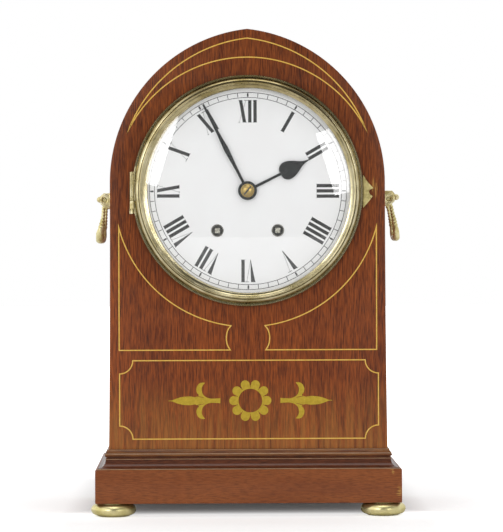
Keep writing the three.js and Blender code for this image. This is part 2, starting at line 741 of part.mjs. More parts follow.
// Phase that puts a driven wheel in mesh with its driver; direction points from driver to driven.
function meshPhase(driverTeeth, driverPhase, teeth, direction) {
  const driverPitch = 2 * Math.PI / driverTeeth;
  const pitch = 2 * Math.PI / teeth;
  const offset = (direction - driverPhase) / driverPitch;
  return direction + Math.PI + (offset + 0.5) * pitch;
}

function windows(shape, count, innerRadius, outerRadius, spoke) {
  for (let i = 0; i < count; i += 1) {
    const start = i * 2 * Math.PI / count;
    const end = start + 2 * Math.PI / count;
    const outer = spoke / outerRadius;
    const inner = spoke / innerRadius;
    const corners = [[innerRadius, end - inner], [innerRadius, start + inner]];
    for (let k = 0; k <= 3; k += 1) {
      corners.push([outerRadius, start + outer + (end - start - 2 * outer) * k / 3]);
    }
    shape.holes.push(polygon(corners.map(([r, angle]) => [r * Math.cos(angle), r * Math.sin(angle)])));
  }
  return shape;
}

// Levels between the plates, measured from the inner face of either plate.
const behindFront = (depth) => frontPlateBackF - depth;
const beforeBack = (height) => backPlateF + height;

// An arbor with pivots in both plates.
function pivotedArbor(backEnd = backPlateBackF, frontEnd = frontPlateF) {
  return join(
    bar(arborRadius, backPlateF + fitGap, frontPlateBackF - fitGap, 0, 0, 8),
    bar(pivotRadius, backEnd, frontEnd, 0, 0, 8),
  );
}

// A crossed-out wheel: rim and four arms round a hub.
function wheelSlab(teeth, module, phase, back) {
  const rim = teeth * module / 2 - 2.6;
  return slab(windows(toothed(teeth, module, phase), 4, 3.8, rim, 0.9), back, back + wheelThickness);
}

const great = { x: windingOut, w: -windingDown, pitch: greatTeeth * greatModule / 2 };
const intermediate = { teeth: 60, module: 0.5, pinion: 10 };
const centre = { teeth: 80, module: 0.375, pinion: 10 };
const third = { teeth: 77, module: 0.33, pinion: 8 };
const escape = { teeth: 40, radius: 12, pinion: 7 };
const strike = { teeth: 60, module: 0.5, pinion: 10 };
const fly = { pinion: 8 };
const cannon = { teeth: 12, module: 0.6 };
const minuteWheel = { teeth: 36, pinion: 10, angle: 200 };
const hourWheel = { teeth: 40 };

function distance(teeth, pinion, module) {
  return (teeth + pinion) * module / 2;
}

// Where the movement's arbors stand, as angles and centre distances.
function placeArbors() {
  const toPinion = distance(greatTeeth, intermediate.pinion, greatModule);
  const toCentre = distance(intermediate.teeth, centre.pinion, intermediate.module);
  const span = Math.hypot(great.x, great.w);
  const lean = Math.acos((toCentre ** 2 + span ** 2 - toPinion ** 2) / (2 * toCentre * span));
  const angle = Math.atan2(great.w, great.x) + lean;
  intermediate.x = toCentre * Math.cos(angle);
  intermediate.w = toCentre * Math.sin(angle);
  const toThird = distance(centre.teeth, third.pinion, centre.module);
  const thirdAngle = THREE.MathUtils.degToRad(100);
  third.x = toThird * Math.cos(thirdAngle);
  third.w = toThird * Math.sin(thirdAngle);
  const toEscape = distance(third.teeth, escape.pinion, third.module);
  escape.x = 0;
  escape.w = third.w + Math.sqrt(toEscape ** 2 - third.x ** 2);
  const strikeAngle = THREE.MathUtils.degToRad(95);
  strike.x = -great.x + toPinion * Math.cos(strikeAngle);
  strike.w = great.w + toPinion * Math.sin(strikeAngle);
  const flyAngle = THREE.MathUtils.degToRad(100);
  const toFly = distance(strike.teeth, fly.pinion, strike.module);
  fly.x = strike.x + toFly * Math.cos(flyAngle);
  fly.w = strike.w + toFly * Math.sin(flyAngle);
  const toMinute = distance(cannon.teeth, minuteWheel.teeth, cannon.module);
  const minuteAngle = THREE.MathUtils.degToRad(minuteWheel.angle);
  minuteWheel.x = toMinute * Math.cos(minuteAngle);
  minuteWheel.w = toMinute * Math.sin(minuteAngle);
  hourWheel.module = 2 * toMinute / (minuteWheel.pinion + hourWheel.teeth);
}

function directionTo(from, to) {
  return Math.atan2(to.w - from.w, to.x - from.x);
}

function buildBarrel(name, x, pinionArbor) {
  const drumFront = behindFront(4);
  const wheelBack = beforeBack(5.5);
  const wheelFront = wheelBack + greatWheelThickness;
  const direction = directionTo({ x, w: great.w }, pinionArbor);
  const drum = bar(drumRadius, wheelFront, drumFront, 0, 0, 28);
  const wheel = slab(toothed(greatTeeth, greatModule, direction), wheelBack, wheelFront);
  const bore = bar(barrelArborRadius + pivotGap, wheelBack - 1, drumFront + 1, 0, 0, 16);
  addToDial(`${name}_barrel`, cut(join(drum, wheel), bore), brass, x, great.w);

  const squareHalf = windingSquare / 2;
  const ratchetTeeth = 20;
  const ratchetPoints = [];
  for (let i = 0; i < ratchetTeeth; i += 1) {
    const angle = i * 2 * Math.PI / ratchetTeeth;
    for (const radius of [ratchetRadius, ratchetRadius - 1.6]) {
      ratchetPoints.push([radius * Math.cos(angle), radius * Math.sin(angle)]);
    }
  }
  addToDial(`${name}_winding_arbor`, join(
    bar(barrelArborRadius, backPlateBackF, frontPlateF + 3, 0, 0, 16),
    slab(polygon(ratchetPoints), frontPlateF + 1, frontPlateF + 2.6),
    block(-squareHalf, squareHalf, frontPlateF + 2, dialRimF - 1, -squareHalf, squareHalf),
  ), steel, x, great.w);
  return direction;
}

function buildTrain() {
  const origin = { x: 0, w: 0 };
  const escapeF = behindFront(11.2);
  const greatPhase = buildBarrel('going', great.x, intermediate);
  const strikePhase = buildBarrel('strike', -great.x, strike);

  const fromGreat = directionTo(great, intermediate);
  const pinionPhase = meshPhase(greatTeeth, greatPhase, intermediate.pinion, fromGreat);
  const toCentre = directionTo(intermediate, origin);
  addToDial('intermediate_wheel', join(
    wheelSlab(intermediate.teeth, intermediate.module, toCentre, behindFront(3.2)),
    slab(toothed(intermediate.pinion, greatModule, pinionPhase), beforeBack(4.4), beforeBack(10)),
    pivotedArbor(),
  ), brass, intermediate.x, intermediate.w);

  const centrePinionPhase = meshPhase(intermediate.teeth, toCentre, centre.pinion, toCentre);
  const toThird = directionTo(origin, third);
  addToDial('centre_wheel', join(
    wheelSlab(centre.teeth, centre.module, toThird, beforeBack(2.6)),
    slab(toothed(centre.pinion, intermediate.module, centrePinionPhase), behindFront(5), behindFront(1)),
    bar(centreArborRadius, backPlateBackF, minuteHandF, 0, 0, 12),
  ), brass);

  const thirdPinionPhase = meshPhase(centre.teeth, toThird, third.pinion, toThird);
  const toEscape = directionTo(third, escape);
  addToDial('third_wheel', join(
    wheelSlab(third.teeth, third.module, toEscape, beforeBack(10.8)),
    slab(toothed(third.pinion, centre.module, thirdPinionPhase), beforeBack(1), beforeBack(5.5)),
    pivotedArbor(),
  ), brass, third.x, third.w);

  const escapePinionPhase = meshPhase(third.teeth, toEscape, escape.pinion, toEscape);
  const escapePoints = [];
  for (let i = 0; i < escape.teeth; i += 1) {
    const angle = i * 2 * Math.PI / escape.teeth;
    const lean = angle + 0.1;
    escapePoints.push([escape.radius * Math.cos(angle), escape.radius * Math.sin(angle)]);
    escapePoints.push([(escape.radius - 1.8) * Math.cos(lean), (escape.radius - 1.8) * Math.sin(lean)]);
  }
  const escapeShape = windows(polygon(escapePoints), 4, 3.2, escape.radius - 3.4, 0.8);
  addToDial('escape_wheel', join(
    slab(escapeShape, escapeF, escapeF + wheelThickness),
    slab(toothed(escape.pinion, third.module, escapePinionPhase), beforeBack(9), beforeBack(13.5)),
    pivotedArbor(),
  ), brass, escape.x, escape.w);

  const fromStrike = directionTo({ x: -great.x, w: great.w }, strike);
  const strikePinionPhase = meshPhase(greatTeeth, strikePhase, strike.pinion, fromStrike);
  const toFly = directionTo(strike, fly);
  addToDial('strike_wheel', join(
    wheelSlab(strike.teeth, strike.module, toFly, behindFront(3.2)),
    slab(toothed(strike.pinion, greatModule, strikePinionPhase), beforeBack(4.4), beforeBack(10)),
    pivotedArbor(),
  ), brass, strike.x, strike.w);

  const flyPhase = meshPhase(strike.teeth, toFly, fly.pinion, toFly);
  addToDial('strike_fly', join(
    slab(toothed(fly.pinion, strike.module, flyPhase), behindFront(5), behindFront(1)),
    block(-flyReach, flyReach, beforeBack(14), behindFront(8), -0.3, 0.3),
    pivotedArbor(),
  ), brass, fly.x, fly.w);
}

function buildMotionWork() {
  const origin = { x: 0, w: 0 };
  const toMinute = directionTo(origin, minuteWheel);
  const wheelF = frontPlateF + 2;
  addToDial('cannon_pinion', cut(join(
    slab(toothed(cannon.teeth, cannon.module, toMinute), frontPlateF + 1.5, frontPlateF + 4.5),
    bar(cannonRadius, frontPlateF + 1.5, minuteHandF + handThickness, 0, 0, 16),
  ), bar(centreArborRadius + pivotGap, frontPlateF, minuteHandF + 5, 0, 0, 12)), steel);

  const back = toMinute + Math.PI;
  const minutePhase = meshPhase(cannon.teeth, toMinute, minuteWheel.teeth, toMinute);
  addToDial('minute_wheel', cut(join(
    slab(toothed(minuteWheel.teeth, cannon.module, minutePhase), wheelF, wheelF + 1.5),
    slab(toothed(minuteWheel.pinion, hourWheel.module, back), wheelF + 1, wheelF + 6.5),
  ), bar(studRadius + pivotGap, frontPlateF, dialRimF, 0, 0, 12)), brass, minuteWheel.x, minuteWheel.w);

  const hourPhase = meshPhase(minuteWheel.pinion, back, hourWheel.teeth, back);
  addToDial('hour_wheel', cut(join(
    slab(toothed(hourWheel.teeth, hourWheel.module, hourPhase), wheelF + 4, wheelF + 5.5),
    bar(hourPipeRadius, wheelF + 4, hourHandF + handThickness, 0, 0, 20),
  ), bar(cannonRadius + pivotGap, frontPlateF, minuteHandF + 5, 0, 0, 16)), brass);
}

// ---- Plates, escapement, pendulum, strike -------------------------------------------------------

function buildPlates() {
  const outline = polygon([
    [-plateHalfWidth, plateBottom], [plateHalfWidth, plateBottom],
    [plateHalfWidth, plateTop], [-plateHalfWidth, plateTop],
  ]);
  const anchorAt = { x: 0, w: pendulumAxisW };
  const hammerAt = { x: hammerX, w: hammerW };
  const pivots = [intermediate, third, escape, strike, fly];
  const through = (f0, f1, list, radius) => list.map(({ x, w }) => bar(radius, f0, f1, x, w, 8));
  const barrels = [{ x: great.x, w: great.w }, { x: -great.x, w: great.w }];
  const pivotHole = pivotRadius + pivotGap;
  const frontHoles = [
    ...through(frontPlateBackF - 1, frontPlateF + 1, [...pivots, anchorAt, hammerAt], pivotHole),
    ...through(frontPlateBackF - 1, frontPlateF + 1, barrels, barrelArborRadius + pivotGap),
    ...through(frontPlateBackF - 1, frontPlateF + 1, [{ x: 0, w: 0 }], centreArborRadius + pivotGap),
  ];
  const stud = bar(studRadius, frontPlateF - 1, frontPlateF + 9, minuteWheel.x, minuteWheel.w, 12);
  addToDial('movement_front_plate', join(
    cut(slab(outline, frontPlateBackF, frontPlateF), ...frontHoles), stud), brass);

  const backHoles = [
    ...through(backPlateBackF - 1, backPlateF + 1, pivots, pivotHole),
    ...through(backPlateBackF - 1, backPlateF + 1, [anchorAt, hammerAt], arborRadius + pivotGap),
    ...through(backPlateBackF - 1, backPlateF + 1, barrels, barrelArborRadius + pivotGap),
    ...through(backPlateBackF - 1, backPlateF + 1, [{ x: 0, w: 0 }], centreArborRadius + pivotGap),
  ];
  const pillarX = plateHalfWidth - pillarInset;
  const corners = [[-1, plateBottom + pillarInset], [1, plateBottom + pillarInset],
    [-1, plateTop - pillarInset], [1, plateTop - pillarInset]];
  const pillars = corners.map(([side, w]) => (
    bar(pillarRadius, backPlateF - 1, frontPlateBackF - glueGap, side * pillarX, w, 12)));
  addToDial('movement_back_plate', join(
    cut(slab(outline, backPlateBackF, backPlateF), ...backHoles), ...pillars), brass);

  const inside = caseHalf - sideThickness - glueGap;
  const seatTop = plateBottom - glueGap;
  addToDial('seat_board', block(-inside, inside, backPlateBackF - 1.5, frontPlateF + 6,
    seatTop - seatThickness, seatTop), insideWood);
}

function buildEscapement() {
  const anchor = polygon([
    [0, 2.8], [4.4, 1.6], [11.2, -8.4], [9.7, -10.2], [7.6, -7.4], [2.4, -2.4],
    [-2.4, -2.4], [-7.6, -7.4], [-9.7, -10.2], [-11.2, -8.4], [-4.4, 1.6],
  ]);
  const crutchF = backPlateBackF - 2;
  const forkReach = crutchF - 5.5;
  const forkInner = rodWidth / 2 + pivotGap;
  const forkW = -46;
  const prong = (x0, x1) => block(x0, x1, forkReach, crutchF, forkW, forkW + 4);
  addToDial('anchor', join(
    slab(anchor, behindFront(12.5), behindFront(9)),
    bar(arborRadius, crutchF - 1.2, frontPlateBackF - fitGap, 0, 0, 8),
    bar(pivotRadius, frontPlateBackF - 1, frontPlateF, 0, 0, 8),
    block(-1.2, 1.2, crutchF - 1.2, crutchF, forkW, 0),
    block(-forkInner - 1.2, forkInner + 1.2, crutchF - 1.2, crutchF, forkW, forkW + 4),
    prong(-forkInner - 1.2, -forkInner), prong(forkInner, forkInner + 1.2),
  ), steel, 0, pendulumAxisW);

  const cockLow = arborRadius + 0.6;
  const cockBack = forkReach - 2;
  addToDial('pendulum_cock', block(-7, 7, cockBack, backPlateBackF - glueGap, cockLow, cockLow + 6),
    brass, 0, pendulumAxisW);

  const rodF = crutchF - 1.2 - fitGap - rodThickness;
  const rodFront = rodF + rodThickness;
  const rodEnd = -pendulumLength - bobRadius - 10;
  const rodTop = cockLow - fitGap;
  addToDial('pendulum_rod', block(-rodWidth / 2, rodWidth / 2, rodF, rodFront, rodEnd, rodTop),
    steel, 0, pendulumAxisW);

  const bobMiddle = (rodF + rodFront) / 2;
  const half = bobThickness / 2;
  const lens = turned([[0, -half], [12, -half + 1], [bobRadius, -0.6], [bobRadius, 0.6],
    [12, half - 1], [0, half]], 24);
  lens.translate(0, -bobMiddle, -pendulumLength);
  const slot = block(-rodWidth / 2 - glueGap, rodWidth / 2 + glueGap, rodF - glueGap, rodFront + glueGap,
    -pendulumLength - bobRadius - 1, -pendulumLength + bobRadius + 1);
  addToDial('pendulum_bob', cut(lens, slot), brass, 0, pendulumAxisW);

  const nutTop = -pendulumLength - bobRadius - glueGap;
  const nut = uprightBar(4.5, nutTop - 4, nutTop, 0, -bobMiddle, 16);
  const nutSlot = block(-rodWidth / 2 - glueGap, rodWidth / 2 + glueGap, rodF - glueGap,
    rodFront + glueGap, nutTop - 5, nutTop + 1);
  addToDial('rating_nut', cut(nut, nutSlot), brass, 0, pendulumAxisW);
}

// Coil gong: a flat spiral of rectangular steel strip, fixed at its inner end.
class Spiral extends THREE.Curve {
  getPoint(t, target = new THREE.Vector3()) {
    const radius = gongInnerRadius + (gongRadius - gongInnerRadius) * t;
    const angle = t * gongTurns * 2 * Math.PI;
    return target.set(radius * Math.cos(angle), 0, radius * Math.sin(angle));
  }
}

function buildGong() {
  const [across, through] = [gongStripWidth / 2, gongStripThickness / 2];
  const strip = polygon([[-across, -through], [across, -through], [across, through], [-across, through]]);
  const coil = new THREE.ExtrudeGeometry(strip, {
    steps: gongTurns * 16, extrudePath: new Spiral(), bevelEnabled: false,
  });
  const gongY = frontY - gongF;
  add('gong', coil, steel, 0, gongY, gongHeight);

  const standLow = plinthTop - gongHeight;
  const postBack = gongPostBack + gongPostThickness;
  const postHalf = gongPostWidth / 2;
  const armHalf = gongArmWidth / 2;
  const postRoof = armHalf + 2;
  add('gong_stand', join(
    box(-gongFootWidth / 2, gongFootWidth / 2, gongPostBack, gongPostBack + gongFootDepth,
      standLow, standLow + gongFootHeight),
    box(-postHalf, postHalf, gongPostBack, postBack, standLow, postRoof),
    box(gongArmReach - postBack / 2, gongArmReach, across + fitGap, postBack, -armHalf, armHalf),
    box(-postHalf, gongArmReach, gongPostBack, postBack, -armHalf, postRoof),
  ), iron, 0, gongY, gongHeight);

  const headAngle = THREE.MathUtils.degToRad(157);
  const headAt = gongRadius + hammerRest + hammerHeadLength / 2;
  const headX = headAt * Math.cos(headAngle) - hammerX;
  const headW = gongHeight - (dialHeight + hammerW) + headAt * Math.sin(headAngle);
  const head = new THREE.CylinderGeometry(hammerHeadRadius, hammerHeadRadius, hammerHeadLength, 16);
  head.rotateX(Math.PI / 2);
  head.rotateY(headAngle - Math.PI * 3 / 2);
  head.translate(headX, -gongF, headW);
  const armOut = hammerArmWidth / 2;
  const arm = slab(polygon([[-armOut, 0], [armOut, 0], [headX + armOut, headW], [headX - armOut, headW]]),
    gongF - hammerArmThickness / 2, gongF + hammerArmThickness / 2);
  const hub = hammerArmWidth;
  addToDial('hammer', join(
    bar(arborRadius, gongF - hub, frontPlateBackF - fitGap, 0, 0, 8),
    bar(pivotRadius, frontPlateBackF - 1, frontPlateF, 0, 0, 8),
    bar(hub, gongF - hub, gongF + hub, 0, 0, 12),
    arm, head,
  ), steel, hammerX, hammerW);
}

placeArbors();
buildCase();
buildBase();
buildBackDoor();
buildHandles();
buildBezel();
buildDial();
buildHands();
buildPlates();
buildTrain();
buildMotionWork();
buildEscapement();
buildGong();

export default clock;
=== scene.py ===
"""Looks of a lancet bracket clock: French-polished mahogany with stringing and marquetry, a painted
dial under a domed glass, a milled brass bezel, side bails and bun feet."""
import math

import bmesh
import bpy
from bpy.props import FloatProperty, FloatVectorProperty, IntProperty, PointerProperty
from mathutils import Matrix, Quaternion, Vector


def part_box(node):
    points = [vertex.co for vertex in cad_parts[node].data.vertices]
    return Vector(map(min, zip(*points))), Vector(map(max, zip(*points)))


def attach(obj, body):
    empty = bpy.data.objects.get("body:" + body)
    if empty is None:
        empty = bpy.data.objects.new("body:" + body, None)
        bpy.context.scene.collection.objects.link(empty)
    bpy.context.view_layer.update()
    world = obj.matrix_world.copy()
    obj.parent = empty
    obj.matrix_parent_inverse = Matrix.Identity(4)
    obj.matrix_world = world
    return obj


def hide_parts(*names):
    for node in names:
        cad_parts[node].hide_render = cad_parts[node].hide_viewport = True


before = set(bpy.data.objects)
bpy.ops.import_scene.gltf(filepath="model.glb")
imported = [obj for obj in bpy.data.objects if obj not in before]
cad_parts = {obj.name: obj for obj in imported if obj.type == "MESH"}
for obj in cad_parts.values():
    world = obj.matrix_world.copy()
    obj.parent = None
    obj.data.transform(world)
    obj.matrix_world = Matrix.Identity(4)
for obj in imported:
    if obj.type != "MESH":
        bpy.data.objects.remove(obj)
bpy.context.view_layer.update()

bl_info = {
    "name": "Lancet bracket clock",
    "version": (1, 0, 0),
    "blender": (4, 5, 0),
    "location": "View3D > Sidebar > Clock",
    "description": "Finishes and fine shapes of a lancet bracket clock",
    "category": "Add Mesh",
}

MM = 0.001

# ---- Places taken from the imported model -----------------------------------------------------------

PANEL_LOW, PANEL_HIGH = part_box("front_board")
FRONT_Y = PANEL_LOW.y  # case's front face
BACK_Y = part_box("back_frame")[1].y
CASE_HALF = PANEL_HIGH.x
APEX = PANEL_HIGH.z
PLINTH_LOW, PLINTH_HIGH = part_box("plinth_front")
PLINTH_TOP = PLINTH_HIGH.z
PLINTH_FOOT = PLINTH_LOW.z - 0.9 * MM  # the boards lap the feet's necks
BEZEL_LOW, BEZEL_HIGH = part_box("bezel_ring")
DIAL_Z = (BEZEL_LOW.z + BEZEL_HIGH.z) / 2
BEZEL_RADIUS = BEZEL_HIGH.x
DIAL_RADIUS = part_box("dial")[1].x
DIAL_CENTRE = Vector((0, FRONT_Y, DIAL_Z))
SPRINGING = 247 * MM

# The arch's shoulders are a little slimmer than the CAD's arc of 115.5 mm, as on the real clock, and its
# sides spread a little towards the base. Each arc's centre lies beyond the middle line.
ARCH_RADIUS, ARCH_CENTRE = 114.6 * MM, 12.6 * MM
SIDE_SPREAD = 1.6 * MM

WINDING_ASIDE, WINDING_BELOW = 22.4 * MM, 29.5 * MM  # winding holes from the dial's centre
HANDLE_PIVOT_OUT, HANDLE_PIVOT_Z = 5 * MM, 235 * MM  # bails' pivots, out from the case's side

# ---- Colours and materials ------------------------------------------------------------------------


def to_linear(hex_colour):
    """Linear red, green and blue of an sRGB hex colour."""
    channels = [int(hex_colour[i:i + 2], 16) / 255 for i in (0, 2, 4)]
    return tuple(c / 12.92 if c <= 0.04045 else ((c + 0.055) / 1.055) ** 2.4 for c in channels)


def as_colour(value):
    """A linear colour from an sRGB hex string, or from a colour property as it is."""
    return to_linear(value) if isinstance(value, str) else tuple(value)


def add_node(tree, kind, inputs=None, **settings):
    """A node with its settings; an input is a value, or a socket to link from."""
    node = tree.nodes.new(kind)
    for key, value in settings.items():
        setattr(node, key, value)
    for key, value in (inputs or {}).items():
        socket = node.inputs[key]
        if isinstance(value, bpy.types.NodeSocket):
            tree.links.new(value, socket)
        elif socket.type == "RGBA" and len(value) == 3:
            socket.default_value = (*value, 1)
        else:
            socket.default_value = value
    return node


def start_material(name, **surface):
    """A node material with one Principled surface; surface gives its socket values."""
    made = bpy.data.materials.new(name)
    made.use_nodes = True
    tree = made.node_tree
    tree.nodes.clear()
    names = {key.replace("_", " ").title(): value for key, value in surface.items()}
    shader = add_node(tree, "ShaderNodeBsdfPrincipled", {
        key.replace("Ior", "IOR"): value for key, value in names.items()})
    add_node(tree, "ShaderNodeOutputMaterial", {"Surface": shader.outputs["BSDF"]})
    return made, tree, shader


def ramp(tree, factor, *stops):
    """A colour ramp over (position, colour) stops."""
    node = add_node(tree, "ShaderNodeValToRGB", {"Fac": factor})
    elements = node.color_ramp.elements
    while len(elements) < len(stops):
        elements.new(0.5)
    for element, (position, colour) in zip(elements, stops):
        element.position = position
        element.color = (*colour, 1) if len(colour) == 3 else colour
    return node.outputs["Color"]


def blend_colours(tree, factor, first, second, mode="MIX"):
    """Two colours mixed by a factor."""
    node = add_node(tree, "ShaderNodeMix", data_type="RGBA", blend_type=mode)
    for socket, value in ((node.inputs[0], factor), (node.inputs[6], first), (node.inputs[7], second)):
        if isinstance(value, bpy.types.NodeSocket):
            tree.links.new(value, socket)
        else:
            socket.default_value = value if isinstance(value, float) else (*value, 1)
    return node.outputs[2]


def worn_spot(tree, place, centre, reach, ragged):
    """Mask of a small ragged rub mark on the front, centred at (x, z) with half sizes (x, z).

    The distance from the centre and a noise add up; the mark starts at one sum and is full at a lower one.
    """
    raggedness, starts_at, full_at, strength = 5.0, 3.35, 2.75, 0.8
    moved = add_node(tree, "ShaderNodeMapping", {
        "Vector": place, "Location": (-centre[0] / reach[0], 0, -centre[1] / reach[1]),
        "Scale": (1 / reach[0], 0, 1 / reach[1])})
    away = add_node(tree, "ShaderNodeVectorMath", {0: moved.outputs["Vector"]}, operation="LENGTH")
    frayed = add_node(tree, "ShaderNodeMath", {
        0: ragged, 1: raggedness, 2: away.outputs["Value"]}, operation="MULTIPLY_ADD")
    return add_node(tree, "ShaderNodeMapRange", {
        "Value": frayed.outputs[0], "From Min": starts_at, "From Max": full_at,
        "To Max": strength}).outputs["Result"]


def polished_wood(name, dark, light, pore="2E130A", grain=(1, 1, 0.06), coordinates="Object", coat=0.08,
                  dark_arch_and_rubbed_edges=False, painted_light=None, marks=(), figure=0.55):
    """French-polished mahogany: ribbons of tone, short dark pores along the grain, a thin shine.

    The painted sheen's argument gives the height where it starts, where it is full, and its share; marks give
    rubbed places.
    """
    dark, light = as_colour(dark), as_colour(light)
    made, tree, shader = start_material(
        name, roughness=0.36, coat_weight=coat, coat_roughness=0.12, ior=1.45, specular_ior_level=0.3)
    coords = add_node(tree, "ShaderNodeTexCoord").outputs
    along = add_node(tree, "ShaderNodeMapping", {
        "Vector": coords[coordinates], "Scale": grain}).outputs["Vector"]
    # Real fibres and pores are 0.2 mm wide; they are drawn about 0.8 mm wide so that they show.
    ribbon_width, streak_width, fibre_width, pore_width = 12 * MM, 3 * MM, 0.85 * MM, 0.8 * MM
    ribbon = add_node(tree, "ShaderNodeTexNoise", {
        "Vector": along, "Scale": 1 / ribbon_width, "Detail": 3.0, "Roughness": 0.5})
    fibre = add_node(tree, "ShaderNodeTexNoise", {
        "Vector": along, "Scale": 1 / fibre_width, "Detail": 2.0, "Roughness": 0.65})
    pores = add_node(tree, "ShaderNodeTexNoise", {
        "Vector": along, "Scale": 1 / pore_width, "Detail": 2.0, "Roughness": 0.7})
    tone = ramp(tree, ribbon.outputs["Fac"], (0.26, dark), (0.74, light))
    tone = blend_colours(tree, figure, tone, ramp(tree, fibre.outputs["Fac"], (0.39, dark), (0.6, light)))
    open_pores = ramp(tree, pores.outputs["Fac"], (0.5, (0, 0, 0)), (0.62, (1, 1, 1)))
    pore_share = add_node(tree, "ShaderNodeMath", {0: open_pores, 1: 0.55}, operation="MULTIPLY")
    tone = blend_colours(tree, pore_share.outputs[0], tone, to_linear(pore))
    parts = add_node(tree, "ShaderNodeSeparateXYZ", {"Vector": coords["Object"]}).outputs
    if painted_light:
        # Painted sheen: the lower front and the top of the moulding are lightened towards gold, in uneven
        # streaks, for the light that the polish catches there.
        start, full, most = painted_light
        share = add_node(tree, "ShaderNodeMapRange", {
            "Value": parts["Z"], "From Min": start, "From Max": full, "To Max": most})
        streak = add_node(tree, "ShaderNodeTexNoise", {
            "Vector": along, "Scale": 1 / streak_width, "Detail": 3.0})
        uneven = add_node(tree, "ShaderNodeMapRange", {
            "Value": streak.outputs["Fac"], "From Min": 0.35, "From Max": 0.65,
            "To Min": 0.25, "To Max": 1.75})
        painted_sheen = add_node(tree, "ShaderNodeMath", {
            0: share.outputs["Result"], 1: uneven.outputs["Result"]}, operation="MULTIPLY")
        tone = blend_colours(tree, painted_sheen.outputs[0], tone, to_linear("A8702F"))
    if dark_arch_and_rubbed_edges:
        # The colour darkens towards the top of the arch.
        height = add_node(tree, "ShaderNodeMapRange", {"Value": parts["Z"], "From Max": APEX})
        tone = blend_colours(tree, 1.0, tone, ramp(
            tree, height.outputs["Result"], (0.4, (1, 1, 1)), (0.66, (0.84, 0.87, 0.8))), "MULTIPLY")
        # Handling has thinned the polish along the upright edges.
        rubbed_width = 1.3 * MM
        aside = add_node(tree, "ShaderNodeMath", {0: parts["X"]}, operation="ABSOLUTE")
        rubbed = add_node(tree, "ShaderNodeMapRange", {
            "Value": aside.outputs[0], "From Min": CASE_HALF - rubbed_width, "From Max": CASE_HALF,
            "To Max": 0.4})
        tone = blend_colours(tree, rubbed.outputs["Result"], tone, to_linear("9A5E2C"))
    for centre, reach in marks:
        mask = worn_spot(tree, coords["Object"], centre, reach, pores.outputs["Fac"])
        tone = blend_colours(tree, mask, tone, to_linear("B08440"))
    tree.links.new(tone, shader.inputs["Base Color"])
    rough = add_node(tree, "ShaderNodeMapRange", {
        "Value": fibre.outputs["Fac"], "To Min": 0.3, "To Max": 0.44})
    tree.links.new(rough.outputs["Result"], shader.inputs["Roughness"])
    bump = add_node(tree, "ShaderNodeBump", {
        "Height": open_pores, "Strength": 0.25, "Distance": 0.04 * MM}, invert=True)
    tree.links.new(bump.outputs["Normal"], shader.inputs["Normal"])
    return made


def plain_wood(name, dark, light):
    """Unpolished beech carcase wood: pale-brown streaks, dull, no coat."""
    dark, light = to_linear(dark), to_linear(light)
    made, tree, shader = start_material(name, roughness=0.72, ior=1.5)
    place = add_node(tree, "ShaderNodeTexCoord").outputs["Object"]
    along = add_node(tree, "ShaderNodeMapping", {"Vector": place, "Scale": (0.06, 1, 1)}).outputs["Vector"]
    streak = add_node(tree, "ShaderNodeTexNoise", {
        "Vector": along, "Scale": 1 / (5 * MM), "Detail": 5.0, "Roughness": 0.6})
    tree.links.new(ramp(tree, streak.outputs["Fac"], (0.3, dark), (0.7, light)), shader.inputs["Base Color"])
    bump = add_node(tree, "ShaderNodeBump", {
        "Height": streak.outputs["Fac"], "Strength": 0.3, "Distance": 0.05 * MM})
    tree.links.new(bump.outputs["Normal"], shader.inputs["Normal"])
    return made


def worn_metal(name, bright, dull, roughness=0.26, patch=9.0, scratch=0.35, grain=(1, 1, 1), painted_shade_by_height=False,
               bare=1.0):
    """Metal under old lacquer: cloudy tarnish and fine rubbing marks; patch and scratch in mm."""
    bright, dull = as_colour(bright), as_colour(dull)
    made, tree, shader = start_material(name, metallic=bare, roughness=roughness)
    place = add_node(tree, "ShaderNodeTexCoord").outputs["Object"]
    along = add_node(tree, "ShaderNodeMapping", {"Vector": place, "Scale": grain}).outputs["Vector"]
    tarnish = add_node(tree, "ShaderNodeTexNoise", {
        "Vector": place, "Scale": 1 / (patch * MM), "Detail": 5.0, "Roughness": 0.6})
    rubbing = add_node(tree, "ShaderNodeTexNoise", {
        "Vector": along, "Scale": 1 / (scratch * MM), "Detail": 2.0})
    colour = ramp(tree, tarnish.outputs["Fac"], (0.35, dull), (0.62, bright))
    if painted_shade_by_height:
        # Painted shade: the hoop is darkened and browned, most at its top and least at half its height,
        # standing in for its darker reflections there.
        height = add_node(tree, "ShaderNodeSeparateXYZ", {"Vector": place}).outputs["Z"]
        share = add_node(tree, "ShaderNodeMapRange", {
            "Value": height, "From Min": DIAL_Z - BEZEL_RADIUS, "From Max": DIAL_Z + BEZEL_RADIUS})
        shade = ramp(tree, share.outputs["Result"], (0, to_linear("E8E6E0")), (0.5, (1, 1, 1)),
                     (1, to_linear("C8C0AC")))
        colour = blend_colours(tree, 1.0, colour, shade, "MULTIPLY")
    tree.links.new(colour, shader.inputs["Base Color"])
    rough = add_node(tree, "ShaderNodeMapRange", {
        "Value": tarnish.outputs["Fac"], "From Min": 0.3, "From Max": 0.7,
        "To Min": roughness + 0.1, "To Max": roughness - 0.05})
    tree.links.new(rough.outputs["Result"], shader.inputs["Roughness"])
    bump = add_node(tree, "ShaderNodeBump", {
        "Height": rubbing.outputs["Fac"], "Strength": 0.12, "Distance": 0.02 * MM})
    tree.links.new(bump.outputs["Normal"], shader.inputs["Normal"])
    return made


